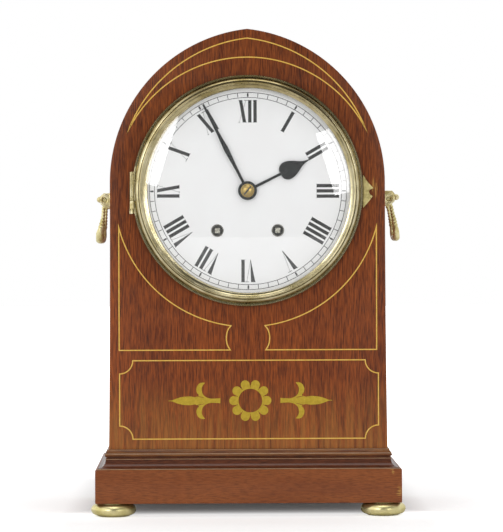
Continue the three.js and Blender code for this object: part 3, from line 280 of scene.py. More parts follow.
def flat_finish(name, first, second, roughness, patch=3.0, depth=0.01, **surface):
    """A paint, print or veneer nearly of one colour, with a slight mottle and tooth (both in mm)."""
    made, tree, shader = start_material(name, roughness=roughness, **surface)
    place = add_node(tree, "ShaderNodeTexCoord").outputs["Object"]
    mottle = add_node(tree, "ShaderNodeTexNoise", {
        "Vector": place, "Scale": 1 / (patch * MM), "Detail": 4.0, "Roughness": 0.6})
    tone = ramp(tree, mottle.outputs["Fac"], (0.3, as_colour(first)), (0.7, as_colour(second)))
    tree.links.new(tone, shader.inputs["Base Color"])
    bump = add_node(tree, "ShaderNodeBump", {
        "Height": mottle.outputs["Fac"], "Strength": 0.1, "Distance": depth * MM})
    tree.links.new(bump.outputs["Normal"], shader.inputs["Normal"])
    return made


def clear_glass(name):
    """Blown convex glass: a sharp reflection and almost no tint; it lets the lamps through to the dial."""
    made, tree, shader = start_material(
        name, base_color=to_linear("FEFEFE"), roughness=0.015, ior=1.65, transmission_weight=1.0)
    path = add_node(tree, "ShaderNodeLightPath")
    passing = add_node(tree, "ShaderNodeMath", {
        0: path.outputs["Is Shadow Ray"], 1: path.outputs["Is Diffuse Ray"]}, operation="MAXIMUM")
    through = add_node(tree, "ShaderNodeBsdfTransparent", {"Color": to_linear("FEFEFE")})
    mixed = add_node(tree, "ShaderNodeMixShader", {
        0: passing.outputs[0], 1: shader.outputs["BSDF"], 2: through.outputs["BSDF"]})
    output = next(n for n in tree.nodes if n.type == "OUTPUT_MATERIAL")
    tree.links.new(mixed.outputs["Shader"], output.inputs["Surface"])
    return made


# ---- Mesh helpers ---------------------------------------------------------------------------------


def mesh_from(name, vertices, faces, sharp=32):
    """A closed mesh with merged points, outward faces and smooth shading below the sharp angle."""
    mesh = bpy.data.meshes.new(name)
    mesh.from_pydata([tuple(v) for v in vertices], [], faces)
    tidy_mesh(mesh, sharp)
    return mesh


def tube_faces(rings, count):
    """Faces of a tube through rings of count points each, closed at both ends."""
    faces = []
    for i in range(rings - 1):
        for k in range(count):
            m = (k + 1) % count
            faces.append([i * count + k, i * count + m, (i + 1) * count + m, (i + 1) * count + k])
    last = (rings - 1) * count
    return [*faces, list(range(count)), [last + k for k in range(count)]]


def tidy_mesh(mesh, sharp=32):
    """Merges doubles, turns faces outwards and sets smooth shading below an angle in degrees."""
    work = bmesh.new()
    work.from_mesh(mesh)
    bmesh.ops.remove_doubles(work, verts=work.verts, dist=2e-6)
    bmesh.ops.dissolve_degenerate(work, edges=work.edges, dist=1e-7)
    bmesh.ops.recalc_face_normals(work, faces=work.faces)
    work.to_mesh(mesh)
    work.free()
    mesh.polygons.foreach_set("use_smooth", [True] * len(mesh.polygons))
    mesh.set_sharp_from_angle(angle=math.radians(sharp))


def lathe(name, profile, centre, segments=96, upright=False, sharp=32, shift=None):
    """A closed profile of (radius, height) in mm turned about a front-to-back or upright axis."""
    vertices, faces = [], []
    count = len(profile)
    for i in range(segments):
        angle = 2 * math.pi * i / segments
        for radius, height in profile:
            x, z = radius * math.cos(angle) * MM, radius * math.sin(angle) * MM
            if shift:
                x, z = shift(radius, x, z)
            step = (x, z, height * MM) if upright else (x, -height * MM, z)
            vertices.append(centre + Vector(step))
    for i in range(segments):
        j = (i + 1) % segments
        for k in range(count):
            m = (k + 1) % count
            if profile[k][0] == 0 and profile[m][0] == 0:
                continue
            faces.append([i * count + k, i * count + m, j * count + m, j * count + k])
    return mesh_from(name, vertices, faces, sharp)


def plate(name, outlines, y_front, thickness, bevel=0.0, steps=2):
    """A flat piece seen from the front: closed outlines of (x, z) in metres, holes among them."""
    curve = bpy.data.curves.new(name, "CURVE")
    curve.dimensions = "2D"
    curve.fill_mode = "BOTH"
    curve.extrude = thickness / 2 - bevel
    curve.bevel_depth = bevel
    curve.bevel_resolution = steps
    curve.offset = -bevel
    for outline in outlines:
        spline = curve.splines.new("POLY")
        spline.points.add(len(outline) - 1)
        spline.points.foreach_set("co", [v for x, z in outline for v in (x, z, 0, 1)])
        spline.use_cyclic_u = True
    holder = bpy.data.objects.new(name, curve)
    mesh = bpy.data.meshes.new_from_object(holder)
    bpy.data.objects.remove(holder)
    bpy.data.curves.remove(curve)
    mesh.transform(Matrix.Translation((0, y_front + thickness / 2, 0)) @ Matrix.Rotation(math.pi / 2, 4, "X"))
    tidy_mesh(mesh)
    return mesh


def joined(name, *meshes):
    """Several meshes as one."""
    work = bmesh.new()
    for mesh in meshes:
        work.from_mesh(mesh)
    mesh = bpy.data.meshes.new(name)
    work.to_mesh(mesh)
    work.free()
    return mesh


def block(name, low, high, bevel=0.0):
    """A box between two corners with rounded edges."""
    work = bmesh.new()
    bmesh.ops.create_cube(work, size=1)
    middle, size = (low + high) / 2, high - low
    bmesh.ops.transform(
        work, verts=work.verts, matrix=Matrix.Translation(middle) @ Matrix.Diagonal((*size, 1)))
    if bevel:
        bmesh.ops.bevel(work, geom=work.edges, offset=bevel, segments=2, profile=0.5, affect="EDGES")
    mesh = bpy.data.meshes.new(name)
    work.to_mesh(mesh)
    work.free()
    tidy_mesh(mesh)
    return mesh


def carve(mesh, cutter):
    """Cuts a closed mesh out of another."""
    piece, tool = bpy.data.objects.new("piece", mesh), bpy.data.objects.new("tool", cutter)
    for obj in (piece, tool):
        bpy.context.scene.collection.objects.link(obj)
    cut = piece.modifiers.new("cut", "BOOLEAN")
    cut.operation, cut.object, cut.solver = "DIFFERENCE", tool, "EXACT"
    result = bpy.data.meshes.new_from_object(piece.evaluated_get(bpy.context.evaluated_depsgraph_get()))
    for obj in (piece, tool):
        bpy.data.objects.remove(obj)
    tidy_mesh(result)
    return result


def set_piece(name, mesh, finish, body, replaced=()):
    """Puts a finished mesh in the scene, on its body, in its finish and in place of its CAD nodes."""
    mesh.name = name
    mesh.materials.clear()
    mesh.materials.append(finish)
    obj = bpy.data.objects.new(name, mesh)
    bpy.context.scene.collection.objects.link(obj)
    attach(obj, body)
    if replaced:
        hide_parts(*replaced)


def finish_nodes(finish, *nodes):
    """Gives CAD nodes whose shape is right their finish."""
    for node in nodes:
        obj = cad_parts[node]
        obj.data.materials.clear()
        obj.data.materials.append(finish)


def half_width(z):
    """Half the case's width at a height below the arch."""
    fall = (SPRINGING - z) / (SPRINGING - PLINTH_TOP)
    return ARCH_RADIUS - ARCH_CENTRE + SIDE_SPREAD * fall**2


def arc(radius, start, end, steps, centre=(0.0, 0.0)):
    """Points (x, z) along an arc between two angles in radians."""
    angles = [start + (end - start) * i / steps for i in range(steps + 1)]
    return [(centre[0] + radius * math.cos(a), centre[1] + radius * math.sin(a)) for a in angles]


def lancet(inset, bottom, steps=40, side_steps=8):
    """Closed pointed-arch outline in metres, drawn in by inset from the case's outer faces."""
    radius = ARCH_RADIUS - inset
    heights = [bottom + (SPRINGING - bottom) * i / side_steps for i in range(side_steps)]
    side = [(half_width(z) - inset, z) for z in heights]
    bend = arc(radius, 0, math.acos(ARCH_CENTRE / radius), steps, (-ARCH_CENTRE, SPRINGING))
    right = [*side, *bend]
    return [*right, *[(-x, z) for x, z in reversed(right[:-1])]]


def ring_outline(radius, x=0.0, z=0.0, count=96):
    """Closed circle of (x, z) in metres."""
    turn = 2 * math.pi / count
    return [(x + radius * math.cos(i * turn), z + radius * math.sin(i * turn)) for i in range(count)]


def smooth_line(points, steps):
    """Open Catmull-Rom curve through points."""
    last = len(points) - 1
    line = []
    for i in range(last):
        a, b, c, d = [Vector(points[min(max(i + k, 0), last)]) for k in (-1, 0, 1, 2)]
        for step in range(steps):
            t = step / steps
            line.append(tuple(0.5 * (2 * b + (c - a) * t + (2 * a - 5 * b + 4 * c - d) * t * t
                                     + (3 * b - a - 3 * c + d) * t**3)))
    return [*line, tuple(points[-1])]


SHARPEST_MITRE = 0.12  # a tip reaches no further than half the line's width over this


def line_strip(name, line, width, y_front, proud, depth):
    """A closed strip let into the front along a line of (x, z), with long mitred points at its tips."""
    count = len(line)
    vertices, faces = [], []
    for i, point in enumerate(line):
        here, before, after = Vector(point), Vector(line[i - 1]), Vector(line[(i + 1) % count])
        into, out = (here - before).normalized(), (after - here).normalized()
        side = Vector((-into.y - out.y, into.x + out.x)).normalized()
        side *= width / 2 / max(SHARPEST_MITRE, math.cos(into.angle(out, 0) / 2))
        for edge in (here + side, here - side):
            vertices += [(edge.x, y_front - proud, edge.y), (edge.x, y_front + depth, edge.y)]
    for i in range(count):
        a, b = i * 4, (i + 1) % count * 4
        faces += [[a + k, a + m, b + m, b + k] for k, m in ((0, 1), (1, 3), (3, 2), (2, 0))]
    return mesh_from(name, vertices, faces)


# ---- Geometry Nodes -------------------------------------------------------------------------------


def start_tree(name, **inputs):
    """A Geometry Nodes tree with named inputs of (socket type, default)."""
    tree = bpy.data.node_groups.new(name, "GeometryNodeTree")
    tree.interface.new_socket("Geometry", in_out="OUTPUT", socket_type="NodeSocketGeometry")
    for key, (kind, default) in inputs.items():
        socket = tree.interface.new_socket(key, in_out="INPUT", socket_type="NodeSocket" + kind)
        socket.default_value = default
    entry = add_node(tree, "NodeGroupInput")
    return tree, entry.outputs


def end_tree(tree, geometry, finish):
    """Closes a tree: realised, in its finish."""
    real = add_node(tree, "GeometryNodeRealizeInstances", {"Geometry": geometry})
    dressed = add_node(tree, "GeometryNodeSetMaterial", {
        "Geometry": real.outputs["Geometry"], "Material": finish})
    add_node(tree, "NodeGroupOutput", {"Geometry": dressed.outputs["Geometry"]})


def grow(name, tree, values):
    """The plain mesh that a tree makes from its input values."""
    holder = bpy.data.objects.new(name, bpy.data.meshes.new(name))
    bpy.context.scene.collection.objects.link(holder)
    modifier = holder.modifiers.new(name, "NODES")
    modifier.node_group = tree
    for item in tree.interface.items_tree:
        if item.in_out == "INPUT" and item.name in values:
            modifier[item.identifier] = values[item.name]
    mesh = bpy.data.meshes.new_from_object(holder.evaluated_get(bpy.context.evaluated_depsgraph_get()))
    holder.modifiers.remove(modifier)
    bpy.data.objects.remove(holder)
    return mesh


def round_the_dial(finish):
    """Tree that sets bars round a circle facing the front, each turned by a slant."""
    tree, given = start_tree(
        "bars round the dial", Count=("Int", 60), Radius=("Float", 70 * MM), Length=("Float", 4 * MM),
        Width=("Float", 0.3 * MM), Height=("Float", 0.1 * MM), Slant=("Float", 0.0))
    circle = add_node(tree, "GeometryNodeMeshCircle", {"Vertices": given["Count"], "Radius": given["Radius"]})
    size = add_node(tree, "ShaderNodeCombineXYZ", {
        "X": given["Length"], "Y": given["Width"], "Z": given["Height"]})
    bar = add_node(tree, "GeometryNodeMeshCube", {"Size": size.outputs["Vector"]})
    place = add_node(tree, "GeometryNodeInputPosition")
    facing = add_node(tree, "FunctionNodeAlignRotationToVector", {
        "Vector": place.outputs["Position"]}, axis="X")
    slant = add_node(tree, "ShaderNodeCombineXYZ", {"Z": given["Slant"]})
    turned = add_node(tree, "FunctionNodeRotateRotation", {
        "Rotation": facing.outputs["Rotation"], "Rotate By": slant.outputs["Vector"]},
        rotation_space="LOCAL")
    bars = add_node(tree, "GeometryNodeInstanceOnPoints", {
        "Points": circle.outputs["Mesh"], "Instance": bar.outputs["Mesh"],
        "Rotation": turned.outputs["Rotation"]})
    end_tree(tree, bars.outputs["Instances"], finish)
    return tree


def flat_to_front(mesh, y, centre=(0.0, DIAL_Z)):
    """Turns a mesh drawn flat about the origin to face the front at a height on the dial."""
    mesh.transform(Matrix.Translation((centre[0], y, centre[1])) @ Matrix.Rotation(math.pi / 2, 4, "X"))
    return mesh


# ---- Sizes and colours that a user would change ---------------------------------------------------


class ClockSizes(bpy.types.PropertyGroup):
    """Fine sizes of the clock's ornament."""

    stringing_width: FloatProperty(
        name="Stringing width", description="Width of the boxwood lines", default=0.85 * MM, unit="LENGTH")
    stringing_inset: FloatProperty(
        name="Stringing inset", description="Lines in from the case's edge", default=7.0 * MM, unit="LENGTH")
    corner_radius: FloatProperty(
        name="Corner radius", description="Hollow corners of the lower panel", default=9.8 * MM,
        unit="LENGTH")
    petal_count: IntProperty(name="Petals", description="Petals of the rosette", default=10, min=5, max=16)
    milling_count: IntProperty(
        name="Milling", description="Ridges round the bezel's rim", default=420, min=60, max=720)
    numeral_stroke: FloatProperty(
        name="Numeral stroke", description="Width of a numeral's heavy strokes", default=2.45 * MM,
        unit="LENGTH")
    numeral_outer: FloatProperty(
        name="Numeral outer radius", description="Tops of the numerals", default=67.4 * MM, unit="LENGTH")
    numeral_inner: FloatProperty(
        name="Numeral inner radius", description="Feet of the numerals", default=50.8 * MM, unit="LENGTH")
    track_outer: FloatProperty(
        name="Minute track outer radius", description="Outer line of the track", default=73.0 * MM,
        unit="LENGTH")
    track_inner: FloatProperty(
        name="Minute track inner radius", description="Inner line of the track", default=69.3 * MM,
        unit="LENGTH")


class ClockColours(bpy.types.PropertyGroup):
    """Finishes of the clock."""

    mahogany_dark: FloatVectorProperty(
        name="Mahogany, dark", description="Darker ribbons of the polished case", subtype="COLOR",
        default=to_linear("501E07"))
    mahogany_light: FloatVectorProperty(
        name="Mahogany, light", description="Lighter ribbons of the polished case", subtype="COLOR",
        default=to_linear("984B17"))
    stringing: FloatVectorProperty(
        name="Boxwood stringing", description="Inlaid lines", subtype="COLOR", default=to_linear("CC9F3C"))
    marquetry: FloatVectorProperty(
        name="Satinwood marquetry", description="Inlaid rosette and leaves", subtype="COLOR",
        default=to_linear("A48A1C"))
    brass: FloatVectorProperty(
        name="Brass", description="Handle mounts, hinges, knob and bob", subtype="COLOR",
        default=to_linear("F4EAC0"))
    dial: FloatVectorProperty(
        name="Dial", description="Painted dial", subtype="COLOR", default=to_linear("F4F5F5"))
    print_black: FloatVectorProperty(
        name="Print", description="Numerals and minute track", subtype="COLOR", default=to_linear("101311"))


FINISHES = {}


def make_finishes(colours):
    """Every finish of the clock, named for the real one."""
    dark, light = colours.mahogany_dark, colours.mahogany_light
    # Rubbed places: each one's centre and half sizes, as (x, z).
    tab_mark = ((94.4 * MM, DIAL_Z + 1.9 * MM), (1.7 * MM, 6.2 * MM))
    plinth_chips = (
        ((111.5 * MM, 18 * MM), (2.2 * MM, 3.6 * MM)),
        ((106.5 * MM, 33 * MM), (1.2 * MM, 2.2 * MM)))
    FINISHES.update(
        case=polished_wood(
            "French-polished mahogany veneer, grain upright", dark, light, dark_arch_and_rubbed_edges=True,
            painted_light=(102 * MM, 50 * MM, 0.36), marks=[tab_mark]),
        backing=polished_wood("French-polished mahogany, grain upright", dark, light),
        case_side=polished_wood(
            "French-polished mahogany veneer, bent sides", dark, light, grain=(0.09, 1, 1), coordinates="UV"),
        moulding=polished_wood(
            "French-polished mahogany moulding, grain along", "44200E", "6A3516", grain=(0.1, 1, 1),
            coordinates="UV", coat=0.34, painted_light=(PLINTH_TOP + 8.5 * MM, PLINTH_TOP + 10 * MM, 0.18)),
        plinth=polished_wood(
            "French-polished mahogany plinth, grain along", "713818", "915228", pore="5A2F18",
            grain=(0.12, 1, 1), coordinates="UV", figure=0.35, marks=plinth_chips),
        worn=flat_finish("Mahogany arris, polish worn through", "8F6A48", "A98763", 0.4, patch=6.0),
        fillet=flat_finish("Pale strip along a fillet", "AE9A78", "8C7454", 0.6, patch=9.0),
        inside=plain_wood("Oiled beech carcase", "5E412B", "8A6645"),
        stringing=flat_finish(
            "Boxwood stringing under polish", colours.stringing, "DFB85C", 0.38, patch=4.0,
            specular_ior_level=0.3),
        marquetry=flat_finish(
            "Satinwood marquetry under polish", colours.marquetry, "BC9E2E", 0.38, patch=2.5,
            specular_ior_level=0.3),
        brass=worn_metal(
            "Polished cast brass, old lacquer", colours.brass, "C6B678", roughness=0.33, patch=4.0, bare=0.7),
        # Painted reflection: the grip's brass is paler, for the white surroundings that it reflects.
        bail=worn_metal(
            "Cast brass grip, pale for a painted reflection", "F3E9B4", "CDBD78", roughness=0.34, patch=5.0,
            bare=0.58),
        tab=worn_metal(
            "Cast brass, golden old lacquer", "DFCF8E", "A3935A", roughness=0.36, patch=3.0, bare=0.6),
        bezel=worn_metal(
            "Spun brass, tarnished lacquer, painted shade", "DCD2AE", "B0A478", roughness=0.2, patch=14.0, painted_shade_by_height=True),
        foot=worn_metal("Turned brass, buffed", "E4DAA4", "C6BA78", roughness=0.32, patch=12.0, bare=0.88),
        movement=worn_metal(
            "Cast brass clock plate, brushed", "B79C58", "93793F", roughness=0.34, patch=18.0,
            grain=(0.1, 1, 1)),
        steel=worn_metal("Turned steel", "A9ABAD", "7D8084", roughness=0.28),
        square=worn_metal(
            "Filed steel winding square, greasy", "D8D6C6", "8C8A7C", roughness=0.5, patch=0.9, bare=0.35),
        blued=worn_metal("Blued steel, blackened", "141A19", "0A0E0D", roughness=0.3),
        iron=flat_finish("Black japanned cast iron", "232325", "303032", 0.5, patch=1.5, depth=0.08),
        dial=flat_finish(
            "White painted dial, varnished", colours.dial, "F1F1F1", 0.3, patch=20.0, coat_weight=0.2,
            coat_roughness=0.2),
        ink=flat_finish(
            "Black dial print", colours.print_black, "181C19", 0.6, patch=1.2, specular_ior_level=0.25),
        shade=flat_finish("Dirt and painted shade in a slot", "24231F", "3A3832", 0.5, patch=1.0),
        rim=flat_finish("Grey rim of a winding hole", "8A887E", "55534B", 0.5, patch=1.0),
        glass=clear_glass("Blown convex glass"),
    )


# ---- Pieces ---------------------------------------------------------------------------------------


class FinishNodes(bpy.types.Operator):
    """Makes the finishes and dresses the CAD nodes that stay"""

    bl_idname = "clock.finish_nodes"
    bl_label = "Finishes"

    def execute(self, context):
        make_finishes(context.scene.clock_colours)
        finish_nodes(FINISHES["inside"], "base_board", "seat_board")
        finish_nodes(
            FINISHES["movement"], "movement_front_plate", "movement_back_plate", "going_barrel",
            "strike_barrel", "intermediate_wheel", "centre_wheel", "third_wheel", "escape_wheel",
            "strike_wheel", "minute_wheel", "hour_wheel", "strike_fly", "pendulum_cock")
        finish_nodes(FINISHES["steel"], "cannon_pinion", "anchor", "pendulum_rod", "hammer")
        finish_nodes(FINISHES["square"], "going_winding_arbor", "strike_winding_arbor")
        finish_nodes(FINISHES["brass"], "rating_nut", "bezel_hinge_pin")
        finish_nodes(FINISHES["iron"], "gong_stand")
        for hinge in ("lower", "upper"):
            finish_nodes(
                FINISHES["brass"], f"door_hinge_{hinge}_frame_leaf", f"door_hinge_{hinge}_door_leaf")
        return {"FINISHED"}


class CaseFront(bpy.types.Operator):
    """Front panel with its round opening and the hinge's pocket"""

    bl_idname = "clock.case_front"
    bl_label = "Front panel"

    def execute(self, context):
        low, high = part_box("front_board")
        opening = BEZEL_RADIUS - 5 * MM
        panel = plate(
            "front_panel", [lancet(0, low.z), ring_outline(opening, 0, DIAL_Z)], FRONT_Y, high.y - low.y,
            bevel=0.5 * MM)
        leaf_low, leaf_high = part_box("bezel_hinge_leaf")
        gap, under = 0.05 * MM, 1.2 * MM
        pocket = block("pocket", Vector((leaf_low.x - gap, FRONT_Y - MM, leaf_low.z - gap)),
                       Vector((-opening + 2 * MM, leaf_high.y + under, leaf_high.z + gap)))
        set_piece("front_panel", carve(panel, pocket), FINISHES["case"], "case", ["front_board"])
        return {"FINISHED"}


class CaseSides(bpy.types.Operator):
    """Bent sides that meet at the point of the arch"""

    bl_idname = "clock.case_sides"
    bl_label = "Bent sides"

    def execute(self, context):
        low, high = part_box("case_side_right")
        wall = 9 * MM
        outer, inner = lancet(0, low.z), lancet(wall, low.z)
        soft = 0.8 * MM
        section = [(0, low.y), (0, high.y - soft), (-soft, high.y), (-wall, high.y), (-wall, low.y)]
        vertices = []
        for (xo, zo), (xi, zi) in zip(outer, inner):
            for inset, y in section:
                share = -inset / wall
                vertices.append((xo + (xi - xo) * share, y, zo + (zi - zo) * share))
        mesh = mesh_from("bent_sides", vertices, tube_faces(len(outer), len(section)), 25)
        wrap_grain(mesh, outer)
        set_piece("bent_sides", mesh, FINISHES["case_side"], "case",
                  ["case_side_left", "case_side_right"])
        return {"FINISHED"}


def wrap_grain(mesh, outline):
    """UV map in metres: along the nearest point of an outline of (x, z), and front to back."""
    points = [Vector(p) for p in outline]
    lengths = [0.0]
    for first, second in zip(points, points[1:]):
        lengths.append(lengths[-1] + (second - first).length)
    layer = mesh.uv_layers.new(name="grain")
    found = {}
    for loop in mesh.loops:
        if loop.vertex_index not in found:
            co = mesh.vertices[loop.vertex_index].co
            here = Vector((co.x, co.z))
            nearest = min(range(len(points)), key=lambda i: (points[i] - here).length_squared)
            found[loop.vertex_index] = (lengths[nearest], co.y + (points[nearest] - here).length)
        layer.data[loop.index].uv = found[loop.vertex_index]


def mitred_run(name, section, low_z, y_back):
    """A section of (out, up) in metres swept along the left side, the front and the right side, mitred."""
    corners = ((-1, True), (-1, False), (1, False), (1, True))
    vertices = []
    for x_sign, at_back in corners:
        for out, up in section:
            vertices.append((x_sign * (CASE_HALF + out), y_back if at_back else FRONT_Y - out, low_z + up))
    mesh = mesh_from(name, vertices, tube_faces(len(corners), len(section)), sharp=28)
    run_grain(mesh)
    return mesh


def run_grain(mesh):
    """UV map in metres with its first axis along each run: across the front, or front to back at a side."""
    layer = mesh.uv_layers.new(name="grain")
    for polygon in mesh.polygons:
        middle = polygon.center
        side = CASE_HALF - abs(middle.x) < FRONT_Y - middle.y + 1e-6 and middle.y > FRONT_Y
        for index in polygon.loop_indices:
            co = mesh.vertices[mesh.loops[index].vertex_index].co
            along, across = (co.y, abs(co.x)) if side else (co.x, co.y)
            layer.data[index].uv = (along, across + co.z)


class Base(bpy.types.Operator):
    """Base moulding and plinth, mitred at the front corners"""

    bl_idname = "clock.base"
    bl_label = "Moulding and plinth"

    def execute(self, context):
        # The section in mm: out from the case and up from the plinth.
        top = (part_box("base_moulding_front")[1].z - PLINTH_TOP) / MM
        cove = [(8.5 - 5.3 * c, 6.6 - 5.7 * s) for c, s in arc(1, math.pi / 2, 0, 10)]
        nose = [(3.3 + 0.7 * c, 9.9 + 0.8 * s) for c, s in arc(1, math.radians(-50), math.radians(50), 6)]
        section = [
            (0.05, 0.05), (9.0, 0.05), (9.0, 0.6), (8.8, 0.8), *cove, (3.2, 6.9), (3.45, 7.0), (3.45, 7.2),
            (2.75, 7.8), (2.6, 8.1), (2.6, 8.7), (3.3, 8.9), *nose, (3.1, 11.2), (2.7, 11.7), (2.5, 12.3),
            (2.5, 12.7), (2.25, 13.0), (2.2, 13.6), (2.0, 13.9), (1.3, top - 0.05), (0.05, top),
        ]
        moulding = mitred_run("base_moulding", [(x * MM, z * MM) for x, z in section], PLINTH_TOP, BACK_Y)
        set_piece("base_moulding", moulding, FINISHES["moulding"], "case",
                  ["base_moulding_front", "base_moulding_left", "base_moulding_right"])

        edges = [mitred_run("edge", [((x - 0.3) * MM, z * MM), (x * MM, z * MM), (x * MM, (z + wide) * MM),
                                     ((x - 0.3) * MM, (z + wide) * MM)], PLINTH_TOP, BACK_Y)
                 for x, z, wide in ((2.12, 13.55, 0.45), (3.75, 10.75, 0.55), (3.5, 7.05, 0.4))]
        set_piece("worn_arrises", joined("edges", *edges), FINISHES["worn"], "case")
        # A pale strip on the plinth's top ledge, along the moulding's foot.
        fillet = mitred_run("fillet", [(8 * MM, 0.02 * MM), (9.25 * MM, 0.02 * MM), (9.1 * MM, 0.36 * MM),
                                       (8 * MM, 0.4 * MM)], PLINTH_TOP, BACK_Y)
        set_piece("pale_fillet", fillet, FINISHES["fillet"], "case")

        out = (FRONT_Y - PLINTH_LOW.y) / MM
        tall = (PLINTH_TOP - PLINTH_FOOT) / MM
        thick, soft = 14, 0.8
        bend = 0.3 * soft  # the rounded edge's middle point, in from both faces
        board = [(out - thick, 0), (out - soft, 0), (out - bend, bend), (out, soft), (out, tall - soft),
                 (out - bend, tall - bend), (out - soft, tall), (out - thick, tall)]
        plinth = mitred_run("plinth", [(x * MM, z * MM) for x, z in board], PLINTH_FOOT, BACK_Y)
        back_low, back_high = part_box("plinth_back")
        back = block("plinth_back_board", back_low, back_high, 0.4 * MM)
        run_grain(back)
        set_piece("plinth_boards", joined("plinth", plinth, back), FINISHES["plinth"], "case",
                  ["plinth_front", "plinth_left", "plinth_right", "plinth_back"])
        return {"FINISHED"}


class Feet(bpy.types.Operator):
    """Four turned brass bun feet"""

    bl_idname = "clock.feet"
    bl_label = "Bun feet"

    def execute(self, context):
        for name in ("front_left", "front_right", "back_left", "back_right"):
            node = f"foot_{name}"
            low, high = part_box(node)
            centre = Vector(((low.x + high.x) / 2, (low.y + high.y) / 2, 0))
            radius = (high.x - low.x) / 2 / MM + 0.7
            top = PLINTH_FOOT / MM + 0.05
            bun = [(radius - 4.2 + 4.2 * c, 4.9 + 4.0 * s)
                   for c, s in arc(1, math.radians(-80), math.radians(78), 16)]
            profile = [
                (0, 0.35), (9.6, 0.35), (10.2, 0), (11.4, 0), (12.4, 0.5), *bun, (11.6, 9.0), (10.6, 9.1),
                (10.3, 9.4), (10.3, top), (0, top),
            ]
            set_piece(f"bun_{name}", lathe(node, profile, centre, 72, upright=True), FINISHES["foot"], "case",
                      [node])
        return {"FINISHED"}


class Inlay(bpy.types.Operator):
    """Boxwood stringing and the marquetry rosette and leaves, flush in the front"""

    bl_idname = "clock.inlay"
    bl_label = "Stringing and marquetry"

    def execute(self, context):
        sizes = context.scene.clock_sizes
        proud, depth = 0.03 * MM, 0.4 * MM
        width, inset = sizes.stringing_width, sizes.stringing_inset

        # Crescent over the dial: the outer line follows the arch, the inner is struck from the dial's centre.
        outer_radius, inner_radius = 107.7 * MM, 98.9 * MM
        offset = Vector((-12.4 * MM, SPRINGING - DIAL_Z))
        between = offset.length
        swing = math.acos((inner_radius**2 + between**2 - outer_radius**2) / (2 * inner_radius * between))
        tip_angle = math.atan2(offset.y, offset.x) - swing
        tip = Vector((inner_radius * math.cos(tip_angle), inner_radius * math.sin(tip_angle)))
        start = math.atan2(tip.y - offset.y, tip.x - offset.x)
        end = math.acos(-offset.x / outer_radius)
        steps = 40
        right = arc(outer_radius, start, end, steps, offset)
        under = arc(inner_radius, tip_angle, math.pi - tip_angle, 2 * steps)
        over = [*right, *[(-x, z) for x, z in reversed(right[:-1])]]
        lines = [[(x, z + DIAL_Z) for x, z in [*over, *under[-2:0:-1]]]]

        # Spandrels under the dial: an upright, a foot, a hollow end and a long hollow along the bezel.
        side = CASE_HALF - inset
        foot, end_top, end_x = 122.9 * MM, 140.7 * MM, 12.6 * MM
        hollow_centre, hollow_radius = DIAL_Z - 2.2 * MM, 98.7 * MM
        tip_turn = math.atan2(math.sqrt(hollow_radius**2 - side**2), side)
        end_turn = math.acos(end_x / hollow_radius)
        hollow = arc(hollow_radius, -tip_turn, -end_turn, steps, (0, hollow_centre))
        end_curve = smooth_line([(end_x, end_top), (14.9 * MM, end_top - 2.9 * MM),
                                 (16.1 * MM, (foot + end_top) / 2 + 0.6 * MM), (15.4 * MM, foot + 4.1 * MM),
                                 (13.2 * MM, foot)], 5)
        spandrel = [*hollow, *end_curve[1:], (side, foot)]
        lines += [spandrel, [(-x, z) for x, z in spandrel]]

        # Lower panel with hollow corners.
        radius, top, bottom = sizes.corner_radius, 115.2 * MM, 57.0 * MM
        edge, aside = 96.0 * MM, 0.7 * MM  # half the panel's width, and how far its middle lies to the right
        panel = []
        for x_sign, z_sign in ((1, 1), (-1, 1), (-1, -1), (1, -1)):
            corner = (x_sign * edge + aside, top if z_sign > 0 else bottom)
            quarter = [(corner[0] - x_sign * radius * math.sin(math.pi / 2 * i / 8),
                        corner[1] - z_sign * radius * math.cos(math.pi / 2 * i / 8)) for i in range(9)]
            panel += quarter if x_sign * z_sign > 0 else quarter[::-1]
        lines.append(panel)
        strips = [line_strip("line", line, width, FRONT_Y, proud, depth) for line in lines]
        set_piece("stringing", joined("stringing", *strips), FINISHES["stringing"], "case")

        # Rosette and the two leaf sprays, set a little right of the middle as on the real one.
        middle = (1.6 * MM, 85.3 * MM)
        tree, given = start_tree(
            "petals", Count=("Int", 10), Radius=("Float", 12 * MM), Petal=("Float", 3.6 * MM),
            Thickness=("Float", 0.4 * MM))
        points = add_node(tree, "GeometryNodeMeshCircle", {
            "Vertices": given["Count"], "Radius": given["Radius"]})
        petal = add_node(tree, "GeometryNodeMeshCylinder", {
            "Vertices": 32, "Radius": given["Petal"], "Depth": given["Thickness"]})
        petals = add_node(tree, "GeometryNodeInstanceOnPoints", {
            "Points": points.outputs["Mesh"], "Instance": petal.outputs["Mesh"]})
        end_tree(tree, petals.outputs["Instances"], FINISHES["marquetry"])
        petals_mesh = flat_to_front(
            grow("petals", tree, {
                "Count": sizes.petal_count, "Radius": 12.3 * MM, "Petal": 3.35 * MM,
                "Thickness": depth + proud}),
            FRONT_Y + (depth - proud) / 2, middle)
        hoop_y = FRONT_Y - proud - 0.01 * MM  # a hair in front of the petals
        hoop = plate("hoop", [ring_outline(11.3 * MM, *middle, 80), ring_outline(8.8 * MM, *middle, 80)],
                     hoop_y, depth)
        cuts = flat_to_front(
            grow("petal_lines", round_the_dial(FINISHES["case"]), {
                "Count": sizes.petal_count, "Radius": 12.0 * MM, "Length": 4.4 * MM, "Width": 0.3 * MM,
                "Height": 0.1 * MM}), 0, (0, 0))
        cuts.transform(Matrix.Translation((middle[0], hoop_y, middle[1]))
                       @ Matrix.Rotation(math.pi / sizes.petal_count, 4, "Y"))
        slits = []
        slit_out, slit_up, slit_slope = 37.2 * MM, 2.9 * MM, math.radians(12)
        for sign in (-1, 1):
            for up in (-1, 1):
                slit = block("slit", Vector((-3.0, -0.05, -0.2)) * MM, Vector((2.6, 0.05, 0.2)) * MM)
                place = (middle[0] + sign * slit_out, FRONT_Y - proud, middle[1] + up * slit_up)
                slit.transform(Matrix.Translation(place) @ Matrix.Rotation(-slit_slope * sign * up, 4, "Y"))
                slits.append(slit)
        set_piece("engraved_lines", joined("engraved", cuts, *slits), FINISHES["case"], "case")
